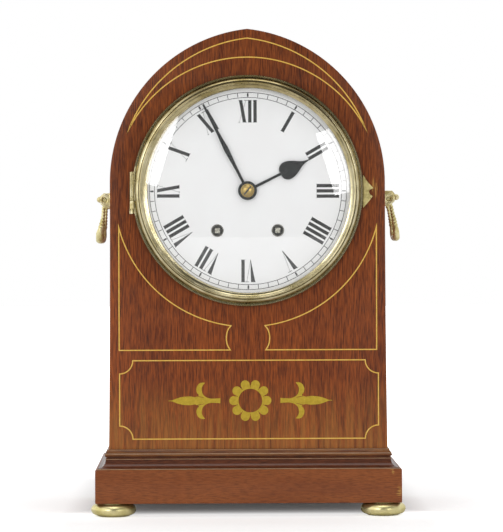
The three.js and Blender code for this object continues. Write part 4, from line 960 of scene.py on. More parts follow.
        # Upper half of a spray in mm: its point, the long leaf, the curled side leaf and the stem.
        leaf = [
            (60.7, 0.2), (58.3, 0.3), (56.8, 0.9), (52.9, 2.3), (48.8, 3.05), (44.6, 3.2), (41.2, 2.7),
            (40.0, 3.1), (38.9, 3.5), (38.3, 4.2), (39.7, 6.2), (40.1, 8.4), (39.5, 10.6), (38.3, 12.4),
            (36.3, 13.4), (33.7, 13.3), (34.9, 11.8), (35.9, 9.8), (36.0, 7.4), (35.2, 4.8), (32.9, 2.7),
            (29.7, 1.65), (26, 1.6), (22.3, 1.9),
        ]
        sprays = []
        for sign in (-1, 1):
            upper = smooth_line([(x * MM, z * MM) for x, z in leaf], 4)
            outline = [*upper, *[(x, -z) for x, z in reversed(upper)]]
            sprays.append(plate("spray", [[(middle[0] + sign * x, middle[1] + z) for x, z in outline]],
                                FRONT_Y - proud, depth))
        set_piece("marquetry", joined("marquetry", petals_mesh, hoop, *sprays), FINISHES["marquetry"], "case")
        return {"FINISHED"}


class BackOfCase(bpy.types.Operator):
    """Back frame, hinged back door and its knob"""

    bl_idname = "clock.back"
    bl_label = "Back frame and door"

    def execute(self, context):
        low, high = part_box("back_frame")
        door_low, door_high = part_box("back_door")
        # In from the case's outer faces: the frame's edge, its opening, and the door in it.
        wall, margin, gap, bottom_rail = 9.3 * MM, 33 * MM, 33.8 * MM, 24 * MM
        surround = plate("back_frame", [lancet(wall, low.z), lancet(margin, low.z + bottom_rail)], low.y,
                         high.y - low.y, bevel=0.5 * MM)
        set_piece("back_surround", surround, FINISHES["backing"], "case", ["back_frame"])
        door = plate("back_door", [lancet(gap, door_low.z)], door_low.y, door_high.y - door_low.y,
                     bevel=0.6 * MM)
        set_piece("back_panel", door, FINISHES["backing"], "back_door", ["back_door"])
        knob_low, knob_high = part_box("back_door_knob")
        centre = Vector(((knob_low.x + knob_high.x) / 2, BACK_Y, (knob_low.z + knob_high.z) / 2))
        ball = [(6 * c, -5.4 - 2.6 * s) for c, s in arc(1, math.radians(-60), math.radians(90), 12)]
        profile = [(0, -0.05), (4, -0.05), (4, -0.7), (2.6, -1.2), (2.4, -2.2), *ball, (0, -8)]
        set_piece("door_knob", lathe("door_knob", profile, centre, 48), FINISHES["brass"], "back_door",
                  ["back_door_knob"])
        return {"FINISHED"}


class Handles(bpy.types.Operator):
    """Side handles: a plate with two eyed posts, and a hanging bail"""

    bl_idname = "clock.handles"
    bl_label = "Side handles"

    def execute(self, context):
        low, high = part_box("handle_plate_right")
        middle = (low.y + high.y) / 2
        half_post = (high.z - low.z) / 2
        drop, post_aside, ball_radius = 32 * MM, 31 * MM, 2.3
        ball = [(ball_radius * s, -ball_radius * c) for c, s in arc(1, 0, math.pi, 14)]
        ball = [(0, -ball_radius), *ball[1:-1], (0, ball_radius)]
        # The right mount's posts sit higher (lift) and reach further out (wide), in mm.
        for name, sign, lift, wide in (("left", -1, 0.0, 0.0), ("right", 1, 1.3, 1.4)):
            parts = [block("backplate", *[Vector(c) for c in sorted_corners(
                (sign * (CASE_HALF + 0.05 * MM), low.y, HANDLE_PIVOT_Z - half_post),
                (sign * (CASE_HALF + 1.25 * MM), high.y, HANDLE_PIVOT_Z + half_post))], 0.4 * MM)]
            post = [(0.05, -6.3), (4.6 + wide, -6.3), (8.2 + wide, -2.9), (8.2 + wide, 2.7),
                    (5.6 + 1.5 * wide, 5.1), (0.05, 5.1)]
            outline = [(sign * (CASE_HALF + x * MM), HANDLE_PIVOT_Z + (z + lift) * MM) for x, z in post]
            eye = ring_outline(1.75 * MM, sign * (CASE_HALF + HANDLE_PIVOT_OUT), HANDLE_PIVOT_Z, 24)
            ball_x = sign * (CASE_HALF + (8.6 + 1.6 * wide) * MM)
            ball_z = HANDLE_PIVOT_Z + (0.2 + lift) * MM
            for end in (-1, 1):
                y = middle + end * post_aside
                parts.append(plate("post", [outline, eye], y - 3 * MM, 6 * MM, bevel=0.8 * MM))
                parts.append(lathe("ball", ball, Vector((ball_x, y, ball_z)), 28, upright=True))
            set_piece(f"handle_mount_{name}", joined("mount", *parts), FINISHES["brass"], "case",
                      [f"handle_plate_{name}"])
            set_piece(f"bail_{name}", self.bail(sign, middle, drop - lift * MM), FINISHES["bail"],
                      f"handle_{name}", [f"handle_bail_{name}"])
        return {"FINISHED"}

    @staticmethod
    def bail(sign, middle, drop):
        """U that leans out from the case: slender twisted legs that swell into a thick grip."""
        leg, corner = 25.2 * MM, 9 * MM
        low = -drop + 1.4 * MM
        path = [(leg, -drop * i / 84) for i in range(56)]
        path += arc(corner, 0, -math.pi / 2, 8, (leg - corner, low + corner))
        path += [(leg * i / 8 - corner * i / 12, low) for i in (4, 2, 0)]
        path += [(-y, z) for y, z in reversed(path[:-1])]
        bent = 0.0 if sign < 0 else 1.1 * MM  # the right bail's back leg stands further out
        # How far the section's inner and outer sides stand from the case, down from the pivot (all in mm).
        if sign < 0:
            stations = ((0, 3.7, 6.3), (8, 4.9, 7.4), (13, 5.1, 7.8), (17, 5.2, 8.9), (21, 5.4, 10.2),
                        (25, 5.6, 11.6), (30, 5.8, 12.2), (40, 6.6, 12.0))
        else:
            stations = ((0, 4.0, 7.2), (6, 6.2, 8.8), (10.3, 7.0, 9.8), (16, 7.8, 11.4), (22.5, 8.5, 13.0),
                        (29, 8.9, 14.3), (34, 9.4, 13.8))

        def reach(fall):
            for (z0, *first), (z1, *second) in zip(stations, stations[1:]):
                if fall <= z1:
                    share = (fall - z0) / (z1 - z0)
                    return [(a + (b - a) * share) * MM for a, b in zip(first, second)]
            return [value * MM for value in stations[-1][1:]]

        sides, strands, strand_depth = 24, 3, 0.2
        vertices = []
        for i, (y, z) in enumerate(path):
            before, after = Vector(path[max(i - 1, 0)]), Vector(path[min(i + 1, len(path) - 1)])
            way = (after - before).normalized()
            inner, outer = reach(max(0.0, -z / MM))
            swell = min(1.0, max(0.0, -z / drop)) ** 2
            across = (1.5 + 1.0 * swell) * MM
            for k in range(sides):
                angle = 2 * math.pi * k / sides
                rope = 1 + strand_depth * (1 - swell) * math.cos(strands * angle + i)
                c, s = rope * math.cos(angle), rope * math.sin(angle)
                x = (inner + outer) / 2 + (outer - inner) / 2 * c
                x += bent * (1 + y / leg) / 2 * min(1.0, -z / (8 * MM))
                vertices.append((sign * (CASE_HALF + x), middle + y - way.y * across * s,
                                 HANDLE_PIVOT_Z + z + way.x * across * s))
        parts = [mesh_from("bow", vertices, tube_faces(len(path), sides), 50)]
        pivot = Vector((sign * (CASE_HALF + HANDLE_PIVOT_OUT), middle, HANDLE_PIVOT_Z))
        for end in (-1, 1):
            eye = lathe("eye", [(0, -2.2), (3.0, -2.2), (3.4, -1.8), (3.4, 1.8), (3.0, 2.2), (0, 2.2)],
                        pivot + Vector((0, end * leg, 0)), 32)
            pin = lathe("pin", [(0, -4.2), (1.4, -4.2), (1.4, 4.2), (0, 4.2)],
                        pivot + Vector((0, end * (leg + 3.2 * MM), 0)), 24)
            parts += [eye, pin]
        return joined("bail", *parts)


def sorted_corners(first, second):
    """Lowest and highest corner of two."""
    return tuple(map(min, first, second)), tuple(map(max, first, second))


class Bezel(bpy.types.Operator):
    """Turned bezel with a milled rim, its hinge, tab and domed glass"""

    bl_idname = "clock.bezel"
    bl_label = "Bezel and glass"

    def execute(self, context):
        sizes = context.scene.clock_sizes
        edge = BEZEL_RADIUS / MM
        # The section in mm, as radius and height over the case: a raised ring, then the slope to the glass.
        ring = [(83.1, 2.9), (83.2, 3.6), (83.0, 4.6), (82.4, 5.6), (81.6, 6.3), (80.9, 6.55), (80.55, 6.5),
                (80.4, 6.3), (80.3, 6.9), (80.0, 7.4), (79.6, 7.6), (79.2, 7.45), (78.9, 7.1)]
        slope = [(78.4, 6.2), (77.9, 5.6), (77.3, 5.15), (76.8, 4.95), (76.45, 4.9), (76.2, 4.7)]
        profile = [
            (79.5, 0.3), (edge - 0.3, 0.3), (edge - 0.1, 0.5), (edge - 0.1, 2.4), (edge - 0.4, 3.2),
            (edge - 1.0, 3.6), (edge - 1.6, 3.5), (edge - 2.0, 3.1), (edge - 2.2, 2.6), *ring, *slope,
            (76.2, 3.6), (79.5, 3.6),
        ]
        hoop = lathe("hoop", profile, DIAL_CENTRE, 240, sharp=38)
        hinge_low, hinge_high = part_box("bezel_hinge_leaf")
        notch = block("notch", Vector((-BEZEL_RADIUS - 3 * MM, FRONT_Y - 10 * MM, hinge_low.z - 0.3 * MM)),
                      Vector((-BEZEL_RADIUS + 2 * MM, FRONT_Y + 5 * MM, hinge_high.z + 0.3 * MM)))
        hoop = carve(hoop, notch)
        axis = Vector((-BEZEL_RADIUS, FRONT_Y - 2.3 * MM, 0))
        parting = hinge_low.z + 9.5 * MM
        top = (hinge_high.z - parting) / MM - 0.15
        knuckle = lathe(
            "knuckle", [(0.82, 0), (1.5, 0), (1.7, 0.2), (1.7, top - 0.2), (1.5, top), (0.82, top)],
            axis + Vector((0, 0, parting + 0.15 * MM)), 32, upright=True)
        web = block("web", Vector((axis.x + 1.2 * MM, axis.y - 0.8 * MM, parting + 0.15 * MM)),
                    Vector((axis.x + 3.4 * MM, axis.y + 0.8 * MM, hinge_high.z)), 0.1 * MM)
        set_piece("bezel_hoop", joined("bezel", hoop, knuckle, web), FINISHES["bezel"], "bezel",
                  ["bezel_ring"])

        milling = grow("milling", round_the_dial(FINISHES["bezel"]), {
            "Count": sizes.milling_count, "Radius": (edge - 1.0) * MM, "Length": 2.3 * MM, "Width": 0.6 * MM,
            "Height": 0.9 * MM, "Slant": math.radians(38)})
        at_hinge = [v for v in milling.vertices
                    if v.co.x < -BEZEL_RADIUS + 3.6 * MM and abs(v.co.y) < 17.5 * MM]
        remove_around(milling, at_hinge)
        flat_to_front(milling, FRONT_Y - 3.45 * MM)
        tidy_mesh(milling, 20)
        set_piece("bezel_milling", milling, FINISHES["bezel"], "bezel")

        # Glass: one dome with a flat rim held between the bezel's seat and the ring behind it.
        def dome(share):
            return 1.9 + 7.6 * (1 - share * share)

        shares = [i / 24 for i in range(25)]
        dome_radius, thick = 75.9, 1.4
        back = [(share * dome_radius, dome(share)) for share in shares]
        face = [(share * dome_radius, dome(share) + thick) for share in reversed(shares)]
        lens = lathe("glass", [*back, (79.2, 1.9), (79.2, 3.3), *face], DIAL_CENTRE, 192, sharp=6)
        set_piece("domed_glass", lens, FINISHES["glass"], "bezel", ["bezel_glass"])

        # The ring behind the glass sits a little off centre, so more of it shows at the left.
        def off_centre(radius, x, z):
            return (x + 1.9 * MM, z) if radius < 77 else (x, z)

        retaining = lathe(
            "retaining", [(75.8, -2), (79.2, -2), (79.2, 1.6), (76.8, 1.6), (76.1, 1.2), (75.8, 0.4)],
            DIAL_CENTRE, 192, shift=off_centre)
        set_piece("glass_retainer", retaining, FINISHES["bezel"], "bezel", ["glass_ring"])

        tab_low, tab_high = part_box("bezel_tab")
        tab_edge = edge + 0.3
        tail = [(0, 11.3), (2.4, 7.3), (5.2, 3.9), (7.5, 1.5), (4.6, 0.2), (4.1, -1.1), (4.8, -2.9),
                (6.9, -4.5), (4.6, -7.6), (2.2, -10.4), (0, -13)]
        inner = [(math.sqrt(tab_edge**2 - z**2) - tab_edge, z) for z in (-11, -7, -3, 1, 5, 9)]
        outline = [((tab_edge + x) * MM, DIAL_Z + z * MM) for x, z in [*tail, *inner]]
        tab = plate("tab", [outline], tab_low.y, tab_high.y - tab_low.y, bevel=0.25 * MM)
        set_piece("bezel_catch", tab, FINISHES["tab"], "bezel", ["bezel_tab"])

        leaf = plate("leaf", [[(hinge_low.x, hinge_low.z + 4.6 * MM), (hinge_low.x + 3.4 * MM, hinge_low.z),
                               (hinge_high.x, hinge_low.z), (hinge_high.x, hinge_high.z),
                               (hinge_low.x + 1.2 * MM, hinge_high.z), (hinge_low.x, hinge_high.z - 2 * MM)]],
                     FRONT_Y - 0.35 * MM, 1.5 * MM, bevel=0.15 * MM)
        post = block("post", Vector((axis.x - 1.7 * MM, axis.y, hinge_low.z)),
                     Vector((axis.x - 0.9 * MM, FRONT_Y, parting - 0.15 * MM)), 0.1 * MM)
        barrel = lathe(
            "barrel", [(0.82, 3.4), (1.5, 3.4), (1.7, 3.6), (1.7, 9.15), (1.5, 9.35), (0.82, 9.35)],
            axis + Vector((0, 0, hinge_low.z)), 32, upright=True)
        set_piece("hinge_plate", joined("hinge_plate", leaf, post, barrel), FINISHES["brass"], "case",
                  ["bezel_hinge_leaf"])
        return {"FINISHED"}


def remove_around(mesh, vertices):
    """Deletes the loose pieces that hold any of the vertices."""
    work = bmesh.new()
    work.from_mesh(mesh)
    work.verts.ensure_lookup_table()
    doomed, queue = set(), [work.verts[v.index] for v in vertices]
    while queue:
        vertex = queue.pop()
        if vertex in doomed:
            continue
        doomed.add(vertex)
        queue += [edge.other_vert(vertex) for edge in vertex.link_edges]
    bmesh.ops.delete(work, geom=list(doomed), context="VERTS")
    work.to_mesh(mesh)
    work.free()


def dial_height(radius):
    """How far in front of the case's front face the domed dial lies at a radius in metres, in mm."""
    return -3 + 2 * (1 - (radius / DIAL_RADIUS) ** 2)


NUMERALS = ("XII", "I", "II", "III", "IIII", "V", "VI", "VII", "VIII", "IX", "X", "XI")


class Dial(bpy.types.Operator):
    """Painted dial with radial numerals and a closed minute track"""

    bl_idname = "clock.dial"
    bl_label = "Dial"

    def execute(self, context):
        sizes = context.scene.clock_sizes
        edge = DIAL_RADIUS / MM
        rings = [5.5 + (edge - 5.5) * i / 22 for i in range(23)]
        profile = [(5.5, -4.8), *[(r, dial_height(r * MM)) for r in rings], (edge, -4.8)]
        plate_mesh = lathe("dial", profile, DIAL_CENTRE, 192, sharp=30)
        for sign in (-1, 1):
            hole = lathe("hole", [(0, -8), (4.35, -8), (4.35, 4), (0, 4)],
                         DIAL_CENTRE + Vector((sign * WINDING_ASIDE, 0, -WINDING_BELOW)), 48)
            plate_mesh = carve(plate_mesh, hole)
        feet = [lathe("dial_foot", [(0, -21.9), (1.5, -21.9), (1.5, -4.6), (0, -4.6)],
                      DIAL_CENTRE + Vector((x, 0, z)) * MM, 16) for x, z in ((-38, 30), (38, 30), (0, -50))]
        set_piece("painted_dial", joined("dial", plate_mesh, *feet), FINISHES["dial"], "case",
                  ["dial"])
        for name, sign in (("left", -1), ("right", 1)):
            centre = DIAL_CENTRE + Vector((sign * WINDING_ASIDE, 0, -WINDING_BELOW))
            # A grey lip lines each winding hole.
            lip = lathe("lip", [(3.95, -4.8), (4.34, -4.8), (4.34, -1.25), (4.6, -1.15), (4.6, -1.08),
                                (4.2, -1.05), (3.95, -1.35)], centre, 48)
            set_piece(f"winding_hole_{name}", lip, FINISHES["rim"], "case")

        strokes = []
        for hour, numeral in enumerate(NUMERALS):
            strokes += self.numeral(hour * 30, numeral, sizes)
        circles = [self.circle(radius, 0.42 * MM) for radius in (sizes.track_outer, sizes.track_inner)]
        middle = (sizes.track_outer + sizes.track_inner) / 2
        length = sizes.track_outer - sizes.track_inner
        level = FRONT_Y - (dial_height(middle) + 0.03) * MM
        tree = round_the_dial(FINISHES["ink"])
        ticks = flat_to_front(grow("ticks", tree, {
            "Count": 60, "Radius": middle, "Length": length, "Width": 0.44 * MM, "Height": 0.1 * MM}), level)
        fives = flat_to_front(grow("fives", tree, {
            "Count": 12, "Radius": middle, "Length": length * 0.62, "Width": 1.2 * MM,
            "Height": 0.12 * MM}), level)
        mesh = joined("print", *strokes, *circles, ticks, fives)
        mesh.transform(Matrix.Translation((0.45 * MM, 0, -0.35 * MM)))  # the print sits a little off centre
        set_piece("numerals_and_track", mesh, FINISHES["ink"], "case")
        return {"FINISHED"}

    @staticmethod
    def circle(radius, width):
        """A printed line round the dial."""
        level = dial_height(radius) + 0.05
        inner, outer = (radius - width / 2) / MM, (radius + width / 2) / MM
        return lathe("circle", [(inner, level - 0.1), (outer, level - 0.1), (outer, level), (inner, level)],
                     DIAL_CENTRE, 240)

    @staticmethod
    def stroke(angle, corners, cut=5):
        """A printed stroke: corners (across, radius) of its foot and top edges, on the dial's dome."""
        (a0, r0), (a1, r1), (b1, s1), (b0, s0) = corners
        turn = math.radians(angle)
        vertices, faces = [], []
        for i in range(cut + 1):
            t = i / cut
            left = (a0 + (b0 - a0) * t, r0 + (s0 - r0) * t)
            right = (a1 + (b1 - a1) * t, r1 + (s1 - r1) * t)
            for across, radius in (left, right):
                x = across * math.cos(turn) + radius * math.sin(turn)
                z = -across * math.sin(turn) + radius * math.cos(turn)
                surface = FRONT_Y - dial_height(math.hypot(x, z)) * MM
                for lift in (0.06 * MM, -0.1 * MM):
                    vertices.append((x, surface - lift, DIAL_Z + z))
        for i in range(cut):
            a, b = i * 4, i * 4 + 4
            for first, second in ((0, 1), (1, 3), (3, 2), (2, 0)):
                faces.append([a + first, a + second, b + second, b + first])
        faces += [[0, 1, 3, 2], [cut * 4, cut * 4 + 1, cut * 4 + 3, cut * 4 + 2]]
        return mesh_from("stroke", vertices, faces)

    def numeral(self, angle, text, sizes):
        """The strokes of one numeral, its top outwards."""
        low, high, heavy = sizes.numeral_inner, sizes.numeral_outer, sizes.numeral_stroke
        hair, serif, gap = 0.2 * MM, 0.36 * MM, 1.45 * MM
        widths = {"I": heavy, "V": 6.4 * MM, "X": 5.4 * MM}
        taper = 0.7  # a serif's outer edge, as a share of its inner one
        total = sum(widths[c] for c in text) + gap * (len(text) - 1)
        at, strokes = -total / 2, []
        for letter in text:
            width = widths[letter]
            left, right = at, at + width
            if letter == "I":
                strokes.append(((left, low), (right, low), (right, high), (left, high)))
                feet = [((left + right) / 2, low), ((left + right) / 2, high)]
            elif letter == "V":
                point = (left + right) / 2 + 0.3 * MM
                foot = ((point - 0.5 * hair, low), (point + 0.5 * hair, low))
                strokes.append((*foot, (left + heavy * 1.3, high), (left, high)))
                strokes.append((*foot, (right, high), (right - hair, high)))
                feet = [(left + heavy / 2, high), (right - hair, high)]
            else:
                strokes.append(((right - heavy, low), (right, low), (left + heavy, high), (left, high)))
                strokes.append(((left, low), (left + hair, low), (right, high), (right - hair, high)))
                feet = [(right - heavy / 2, low), (left + hair, low), (left + heavy / 2, high),
                        (right - hair, high)]
            for across, radius in feet:
                reach = (heavy / 2 if letter == "I" or abs(across - left) > hair else hair) + 0.55 * MM
                inward = serif if radius == low else -serif
                tapered = reach * taper
                strokes.append(((across - reach, radius), (across + reach, radius),
                                (across + tapered, radius + inward), (across - tapered, radius + inward)))
            at = right + gap
        return [self.stroke(angle, corners) for corners in strokes]


class Hands(bpy.types.Operator):
    """Blackened steel hands and the brass collet that holds them"""

    bl_idname = "clock.hands"
    bl_label = "Hands"

    def execute(self, context):
        # Half of each hand in mm: half its width, and how far from the dial's centre.
        minute = [(0.95, 4), (1.1, 18), (1.65, 30), (1.8, 34.5), (1.5, 40), (1.05, 50), (0.75, 71.0),
                  (0.4, 71.6)]
        self.hand("minute", minute, boss=7.0, bore=2.3, level=1.2, angle=-27.1, node="minute_hand")
        hour = [(1.1, 4), (0.95, 26.5), (1.5, 27.2), (4.2, 28.2), (6.2, 30.6), (6.7, 33.4), (6.2, 36.3),
                (5.0, 39.2), (3.5, 41.8), (2.0, 44.4), (1.1, 46.8), (0.65, 49), (0.25, 51.5)]
        self.hand("hour", hour, boss=5.6, bore=3.75, level=-0.2, angle=63.5, node="hour_hand")
        seat = 1.85
        dome = [(0, 0), (5.1, 0), (5.1, 0.5), (4.9, 0.75), (4.5, 0.8), (4.2, 1.2), (3.2, 2.0), (1.8, 2.45),
                (0, 2.6)]
        collet = lathe("collet", [(radius, seat + up) for radius, up in dome], DIAL_CENTRE, 64)
        place = Matrix.Translation(DIAL_CENTRE - Vector((0, seat * MM, 0))) @ Matrix.Rotation(
            math.radians(40), 4, "Y")
        slot = block("slot", Vector((-0.55, -3.2, -6)) * MM, Vector((0.55, -1.3, 6)) * MM)
        slot.transform(place)
        # Painted shade: a dark bar at the slot's bottom stands for its dirt and for the shade deep in it.
        grime_and_shade = block("grime_and_shade", Vector((-0.53, -1.5, -3.8)) * MM, Vector((0.53, -1.2, 3.8)) * MM)
        grime_and_shade.transform(place)
        set_piece("slot_grime_and_shade", grime_and_shade, FINISHES["shade"], "minute_hand")
        set_piece("collet", carve(collet, slot), FINISHES["movement"], "minute_hand",
                  ["hand_collet"])
        return {"FINISHED"}

    @staticmethod
    def hand(name, half, boss, bore, level, angle, node):
        """A flat hand from half its outline, turned to its hour; level is its back over the case in mm."""
        thick = 0.6 * MM
        right = smooth_line([(x * MM, z * MM) for x, z in half], 4)
        outline = [*right, *[(-x, z) for x, z in reversed(right)]]
        reach = math.asin(outline[0][0] / (boss * MM))
        hub = [(boss * MM * s, boss * MM * c) for c, s in arc(1, reach, 2 * math.pi - reach, 60)]
        mesh = plate(name, [[*reversed(outline[1:-1]), *hub], ring_outline(bore * MM)], 0, thick,
                     bevel=0.12 * MM, steps=1)
        mesh.transform(Matrix.Translation(DIAL_CENTRE - Vector((0, level * MM + thick, 0)))
                       @ Matrix.Rotation(math.radians(angle), 4, "Y"))
        set_piece(f"{name}_blade", mesh, FINISHES["blued"], node, [node])


class Movement(bpy.types.Operator):
    """Coil gong and pendulum bob"""

    bl_idname = "clock.movement"
    bl_label = "Gong, bob and screws"

    def execute(self, context):
        low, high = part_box("gong")
        gong_z = 108 * MM
        tree, given = start_tree(
            "coil gong", Turns=("Float", 4.0), Inner=("Float", 12 * MM), Outer=("Float", 44 * MM),
            Thickness=("Float", 1.5 * MM), Width=("Float", 3 * MM))
        coil = add_node(tree, "GeometryNodeCurveSpiral", {
            "Resolution": 64, "Rotations": given["Turns"], "Start Radius": given["Inner"],
            "End Radius": given["Outer"], "Height": 0.0})
        section = add_node(tree, "GeometryNodeCurvePrimitiveQuadrilateral", {
            "Width": given["Thickness"], "Height": given["Width"]})
        strip = add_node(tree, "GeometryNodeCurveToMesh", {
            "Curve": coil.outputs["Curve"], "Profile Curve": section.outputs["Curve"], "Fill Caps": True})
        end_tree(tree, strip.outputs["Mesh"], FINISHES["blued"])
        gong = grow("gong", tree, {
            "Turns": 4.0, "Inner": 12 * MM, "Outer": 44 * MM, "Thickness": 1.5 * MM, "Width": 3 * MM})
        gong.transform(Matrix.Translation((0, (low.y + high.y) / 2, gong_z))
                       @ Matrix.Rotation(math.pi / 2, 4, "X"))
        tidy_mesh(gong, 40)
        set_piece("coil_gong", gong, FINISHES["blued"], "case", ["gong"])

        bob_low, bob_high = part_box("pendulum_bob")
        middle = (bob_low + bob_high) / 2
        radius, half = 20, 4.5
        face = [(radius * c, half * s) for c, s in arc(1, math.radians(8), math.pi / 2, 12)][:-1]
        profile = [(0, -half), *[(r, -h) for r, h in reversed(face)], *face, (0, half)]
        bob = lathe("bob", profile, middle, 72)
        set_piece("bob", bob, FINISHES["brass"], "pendulum", ["pendulum_bob"])
        return {"FINISHED"}


class Stage(bpy.types.Operator):
    """Pale floor, soft lamps, white surround and the camera at the photograph's angle"""

    bl_idname = "clock.stage"
    bl_label = "Stage"

    def execute(self, context):
        scene = context.scene
        scene.view_settings.view_transform = "Standard"
        self.floor()
        self.world(scene)
        self.lamp("left", aside=28.0, above=14.0, size=(0.74, 0.9), radiance=4.6, lean=14)
        self.lamp("right", aside=29.4, above=9.6, size=(0.74, 0.72), radiance=4.2, lean=14)
        self.lamp("overhead", aside=0.0, above=76.0, size=(1.6, 1.6), radiance=1.8)
        self.camera(scene)
        return {"FINISHED"}

    @staticmethod
    def floor():
        """Large pale floor; to the camera it whitens away from the clock, and painted light trims its shadow.

        Lengths here are in metres; the fade runs from where the floor starts to glow to where it is white.
        """
        fade_start, fade_end = 0.2, 0.42
        # Painted light: beside the clock the floor glows to the camera, clearing the clock's shadow there.
        beside_start, beside_end, beside_glow = 0.11, 0.14, 0.3
        trim_start, trim_end = FRONT_Y + 0.1, FRONT_Y - 0.05
        # Painted light: to the camera the floor glows most along a band a little behind the plinth's face,
        # which trims the shadow to a clean edge there. Each stop is a share of the way from trim_start to
        # trim_end, and how far the floor glows there.
        trim = ((0.0, 0.04), (0.287, 0.08), (0.387, 0.12), (0.487, 0.28), (0.56, 0.52), (0.607, 0.7),
                (0.656, 0.65), (0.704, 0.54), (0.751, 0.38), (0.799, 0.29), (0.892, 0.25), (1.0, 0.21))
        made, tree, shader = start_material("Matt white paper floor", roughness=0.9)
        shader.inputs["Base Color"].default_value = (*to_linear("F4F4F4"), 1)
        shader.inputs["Emission Color"].default_value = (1, 1, 1, 1)
        path = add_node(tree, "ShaderNodeLightPath")
        place = add_node(tree, "ShaderNodeTexCoord").outputs["Object"]
        narrow = add_node(tree, "ShaderNodeMapping", {"Vector": place, "Scale": (0.6, 1, 1)})
        away = add_node(tree, "ShaderNodeVectorMath", {0: narrow.outputs["Vector"]}, operation="LENGTH")
        far = add_node(tree, "ShaderNodeMapRange", {
            "Value": away.outputs["Value"], "From Min": fade_start, "From Max": fade_end})
        parts = add_node(tree, "ShaderNodeSeparateXYZ", {"Vector": place})
        aside = add_node(tree, "ShaderNodeMath", {0: parts.outputs["X"]}, operation="ABSOLUTE")
        beside = add_node(tree, "ShaderNodeMapRange", {
            "Value": aside.outputs[0], "From Min": beside_start, "From Max": beside_end,
            "To Max": beside_glow})
        depth = add_node(tree, "ShaderNodeMapRange", {
            "Value": parts.outputs["Y"], "From Min": trim_start, "From Max": trim_end})
        front = ramp(tree, depth.outputs["Result"], *[(at, (glow,) * 3) for at, glow in trim])
        painted_light = far.outputs["Result"]
        for other in (beside.outputs["Result"], front):
            painted_light = add_node(tree, "ShaderNodeMath", {0: painted_light, 1: other}, operation="MAXIMUM").outputs[0]
        glow = add_node(tree, "ShaderNodeMath", {
            0: painted_light, 1: path.outputs["Is Camera Ray"]}, operation="MULTIPLY")
        tree.links.new(glow.outputs[0], shader.inputs["Emission Strength"])
        mesh = bpy.data.meshes.new("floor")
        reach, near = 6.0, -1.2
        mesh.from_pydata([(-reach, near, 0), (reach, near, 0), (reach, reach, 0), (-reach, reach, 0)], [],
                         [[0, 1, 2, 3]])
        mesh.materials.append(made)
        floor = bpy.data.objects.new("floor", mesh)
        bpy.context.scene.collection.objects.link(floor)

    @staticmethod
    def world(scene):
        """White to the camera and to glass; a little darker in reflections from the room in front."""
        world = bpy.data.worlds.new("studio")
        world.use_nodes = True
        tree = world.node_tree
        tree.nodes.clear()
        path = add_node(tree, "ShaderNodeLightPath")
        seen = add_node(tree, "ShaderNodeMath", {
            0: path.outputs["Is Camera Ray"], 1: path.outputs["Is Transmission Ray"]}, operation="MAXIMUM")
        direction = add_node(tree, "ShaderNodeTexCoord").outputs["Generated"]
        parts = add_node(tree, "ShaderNodeSeparateXYZ", {"Vector": direction})
        room = 0.1  # how bright the dark part of the room is in reflections
        # Behind, left, right and above: the axis, where brightness starts and is full, and how bright.
        walls = (("Y", -0.15, 0.35, 1.0), ("X", -0.2, -0.6, 1.35), ("X", 0.45, 0.85, 0.8),
                 ("Z", 0.8, 0.98, 0.7))
        for axis, start, end, bright in walls:
            value = parts.outputs[axis]
            wall = add_node(tree, "ShaderNodeMapRange", {
                "Value": value, "From Min": start, "From Max": end, "To Max": bright})
            room = add_node(tree, "ShaderNodeMath", {0: room, 1: wall.outputs["Result"]},
                            operation="MAXIMUM").outputs[0]
        diffuse = 0.7
        ambient = add_node(tree, "ShaderNodeMix", {
            0: path.outputs["Is Glossy Ray"], 2: diffuse, 3: room}, data_type="FLOAT")
        strength = add_node(tree, "ShaderNodeMix", {
            0: seen.outputs[0], 2: ambient.outputs[0], 3: 1.0}, data_type="FLOAT")
        background = add_node(tree, "ShaderNodeBackground", {
            "Color": (1, 1, 1), "Strength": strength.outputs[0]})
        add_node(tree, "ShaderNodeOutputWorld", {"Surface": background.outputs["Background"]})
        scene.world = world

    @staticmethod
    def lamp(name, aside, above, size, radiance, away=2.5, lean=0):
        """A soft box at angles (degrees) from the dial's axis; radiance is how bright its face looks."""
        aside, above = math.radians(aside), math.radians(above)
        sign = -1 if name == "left" else 1
        place = DIAL_CENTRE + away * Vector((
            sign * math.sin(aside) * math.cos(above), -math.cos(aside) * math.cos(above), math.sin(above)))
        light = bpy.data.lights.new(name, "AREA")
        light.shape = "RECTANGLE"
        light.size, light.size_y = size
        light.energy = radiance * size[0] * size[1] * math.pi
        lamp = bpy.data.objects.new(name, light)
        lamp.location = place
        lamp.rotation_mode = "QUATERNION"
        lamp.rotation_quaternion = (
            (DIAL_CENTRE - place).to_track_quat("-Z", "Y") @ Quaternion((0, 0, 1), sign * math.radians(lean)))
        bpy.context.scene.collection.objects.link(lamp)

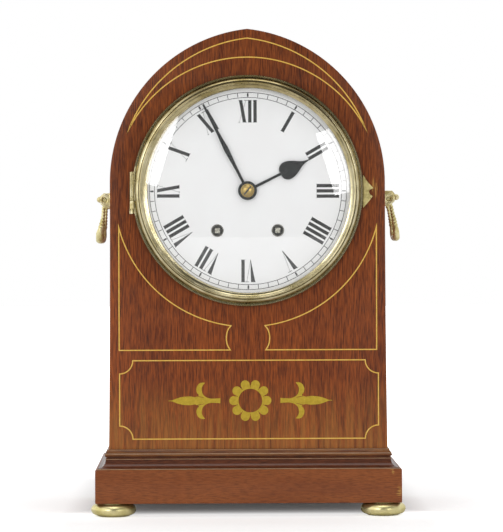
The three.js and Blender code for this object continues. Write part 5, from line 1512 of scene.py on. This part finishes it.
    @staticmethod
    def camera(scene):
        """Camera level with the dial's lower half, two metres off and a touch to the left."""
        data = bpy.data.cameras.new("camera")
        place = (-0.0293, FRONT_Y - 2.0, 0.2063)
        picture_height, focal_pixels = 532, 2698.2
        data.sensor_width = 36
        data.lens = focal_pixels / picture_height * data.sensor_width
        camera = bpy.data.objects.new("camera", data)
        yaw, pitch, roll = (math.radians(a) for a in (0.919, -0.607, -0.199))
        forward = Vector((math.sin(yaw) * math.cos(pitch), math.cos(yaw) * math.cos(pitch), math.sin(pitch)))
        right = forward.cross(Vector((0, 0, 1))).normalized()
        up = right.cross(forward)
        across = right * math.cos(roll) + up * math.sin(roll)
        upward = up * math.cos(roll) - right * math.sin(roll)
        turn = Matrix((across, upward, -forward)).transposed().to_4x4()
        camera.matrix_world = Matrix.Translation(place) @ turn
        data.clip_start, data.clip_end = 0.1, 50
        scene.collection.objects.link(camera)
        scene.camera = camera


# ---- Panel and registration -----------------------------------------------------------------------

STEPS = (Stage, FinishNodes, CaseFront, CaseSides, Base, Feet, Inlay, BackOfCase, Handles, Bezel, Dial, Hands,
         Movement)


class ClockPanel(bpy.types.Panel):
    """Lists the clock's pieces and the sizes and colours of its ornament"""

    bl_idname = "VIEW3D_PT_clock"
    bl_label = "Lancet bracket clock"
    bl_space_type = "VIEW_3D"
    bl_region_type = "UI"
    bl_category = "Clock"

    def draw(self, context):
        for step in STEPS:
            self.layout.operator(step.bl_idname)
        for group in (context.scene.clock_sizes, context.scene.clock_colours):
            box = self.layout.box()
            for name in group.bl_rna.properties.keys():
                if name not in {"rna_type", "name"}:
                    box.prop(group, name)


CLASSES = (ClockSizes, ClockColours, *STEPS, ClockPanel)


def register():
    for cls in CLASSES:
        bpy.utils.register_class(cls)
    bpy.types.Scene.clock_sizes = PointerProperty(type=ClockSizes)
    bpy.types.Scene.clock_colours = PointerProperty(type=ClockColours)


def unregister():
    del bpy.types.Scene.clock_colours
    del bpy.types.Scene.clock_sizes
    for cls in reversed(CLASSES):
        bpy.utils.unregister_class(cls)


def main():
    register()
    for step in STEPS:
        group, name = step.bl_idname.split(".")
        getattr(getattr(bpy.ops, group), name)()


if __name__ == "__main__":
    main()
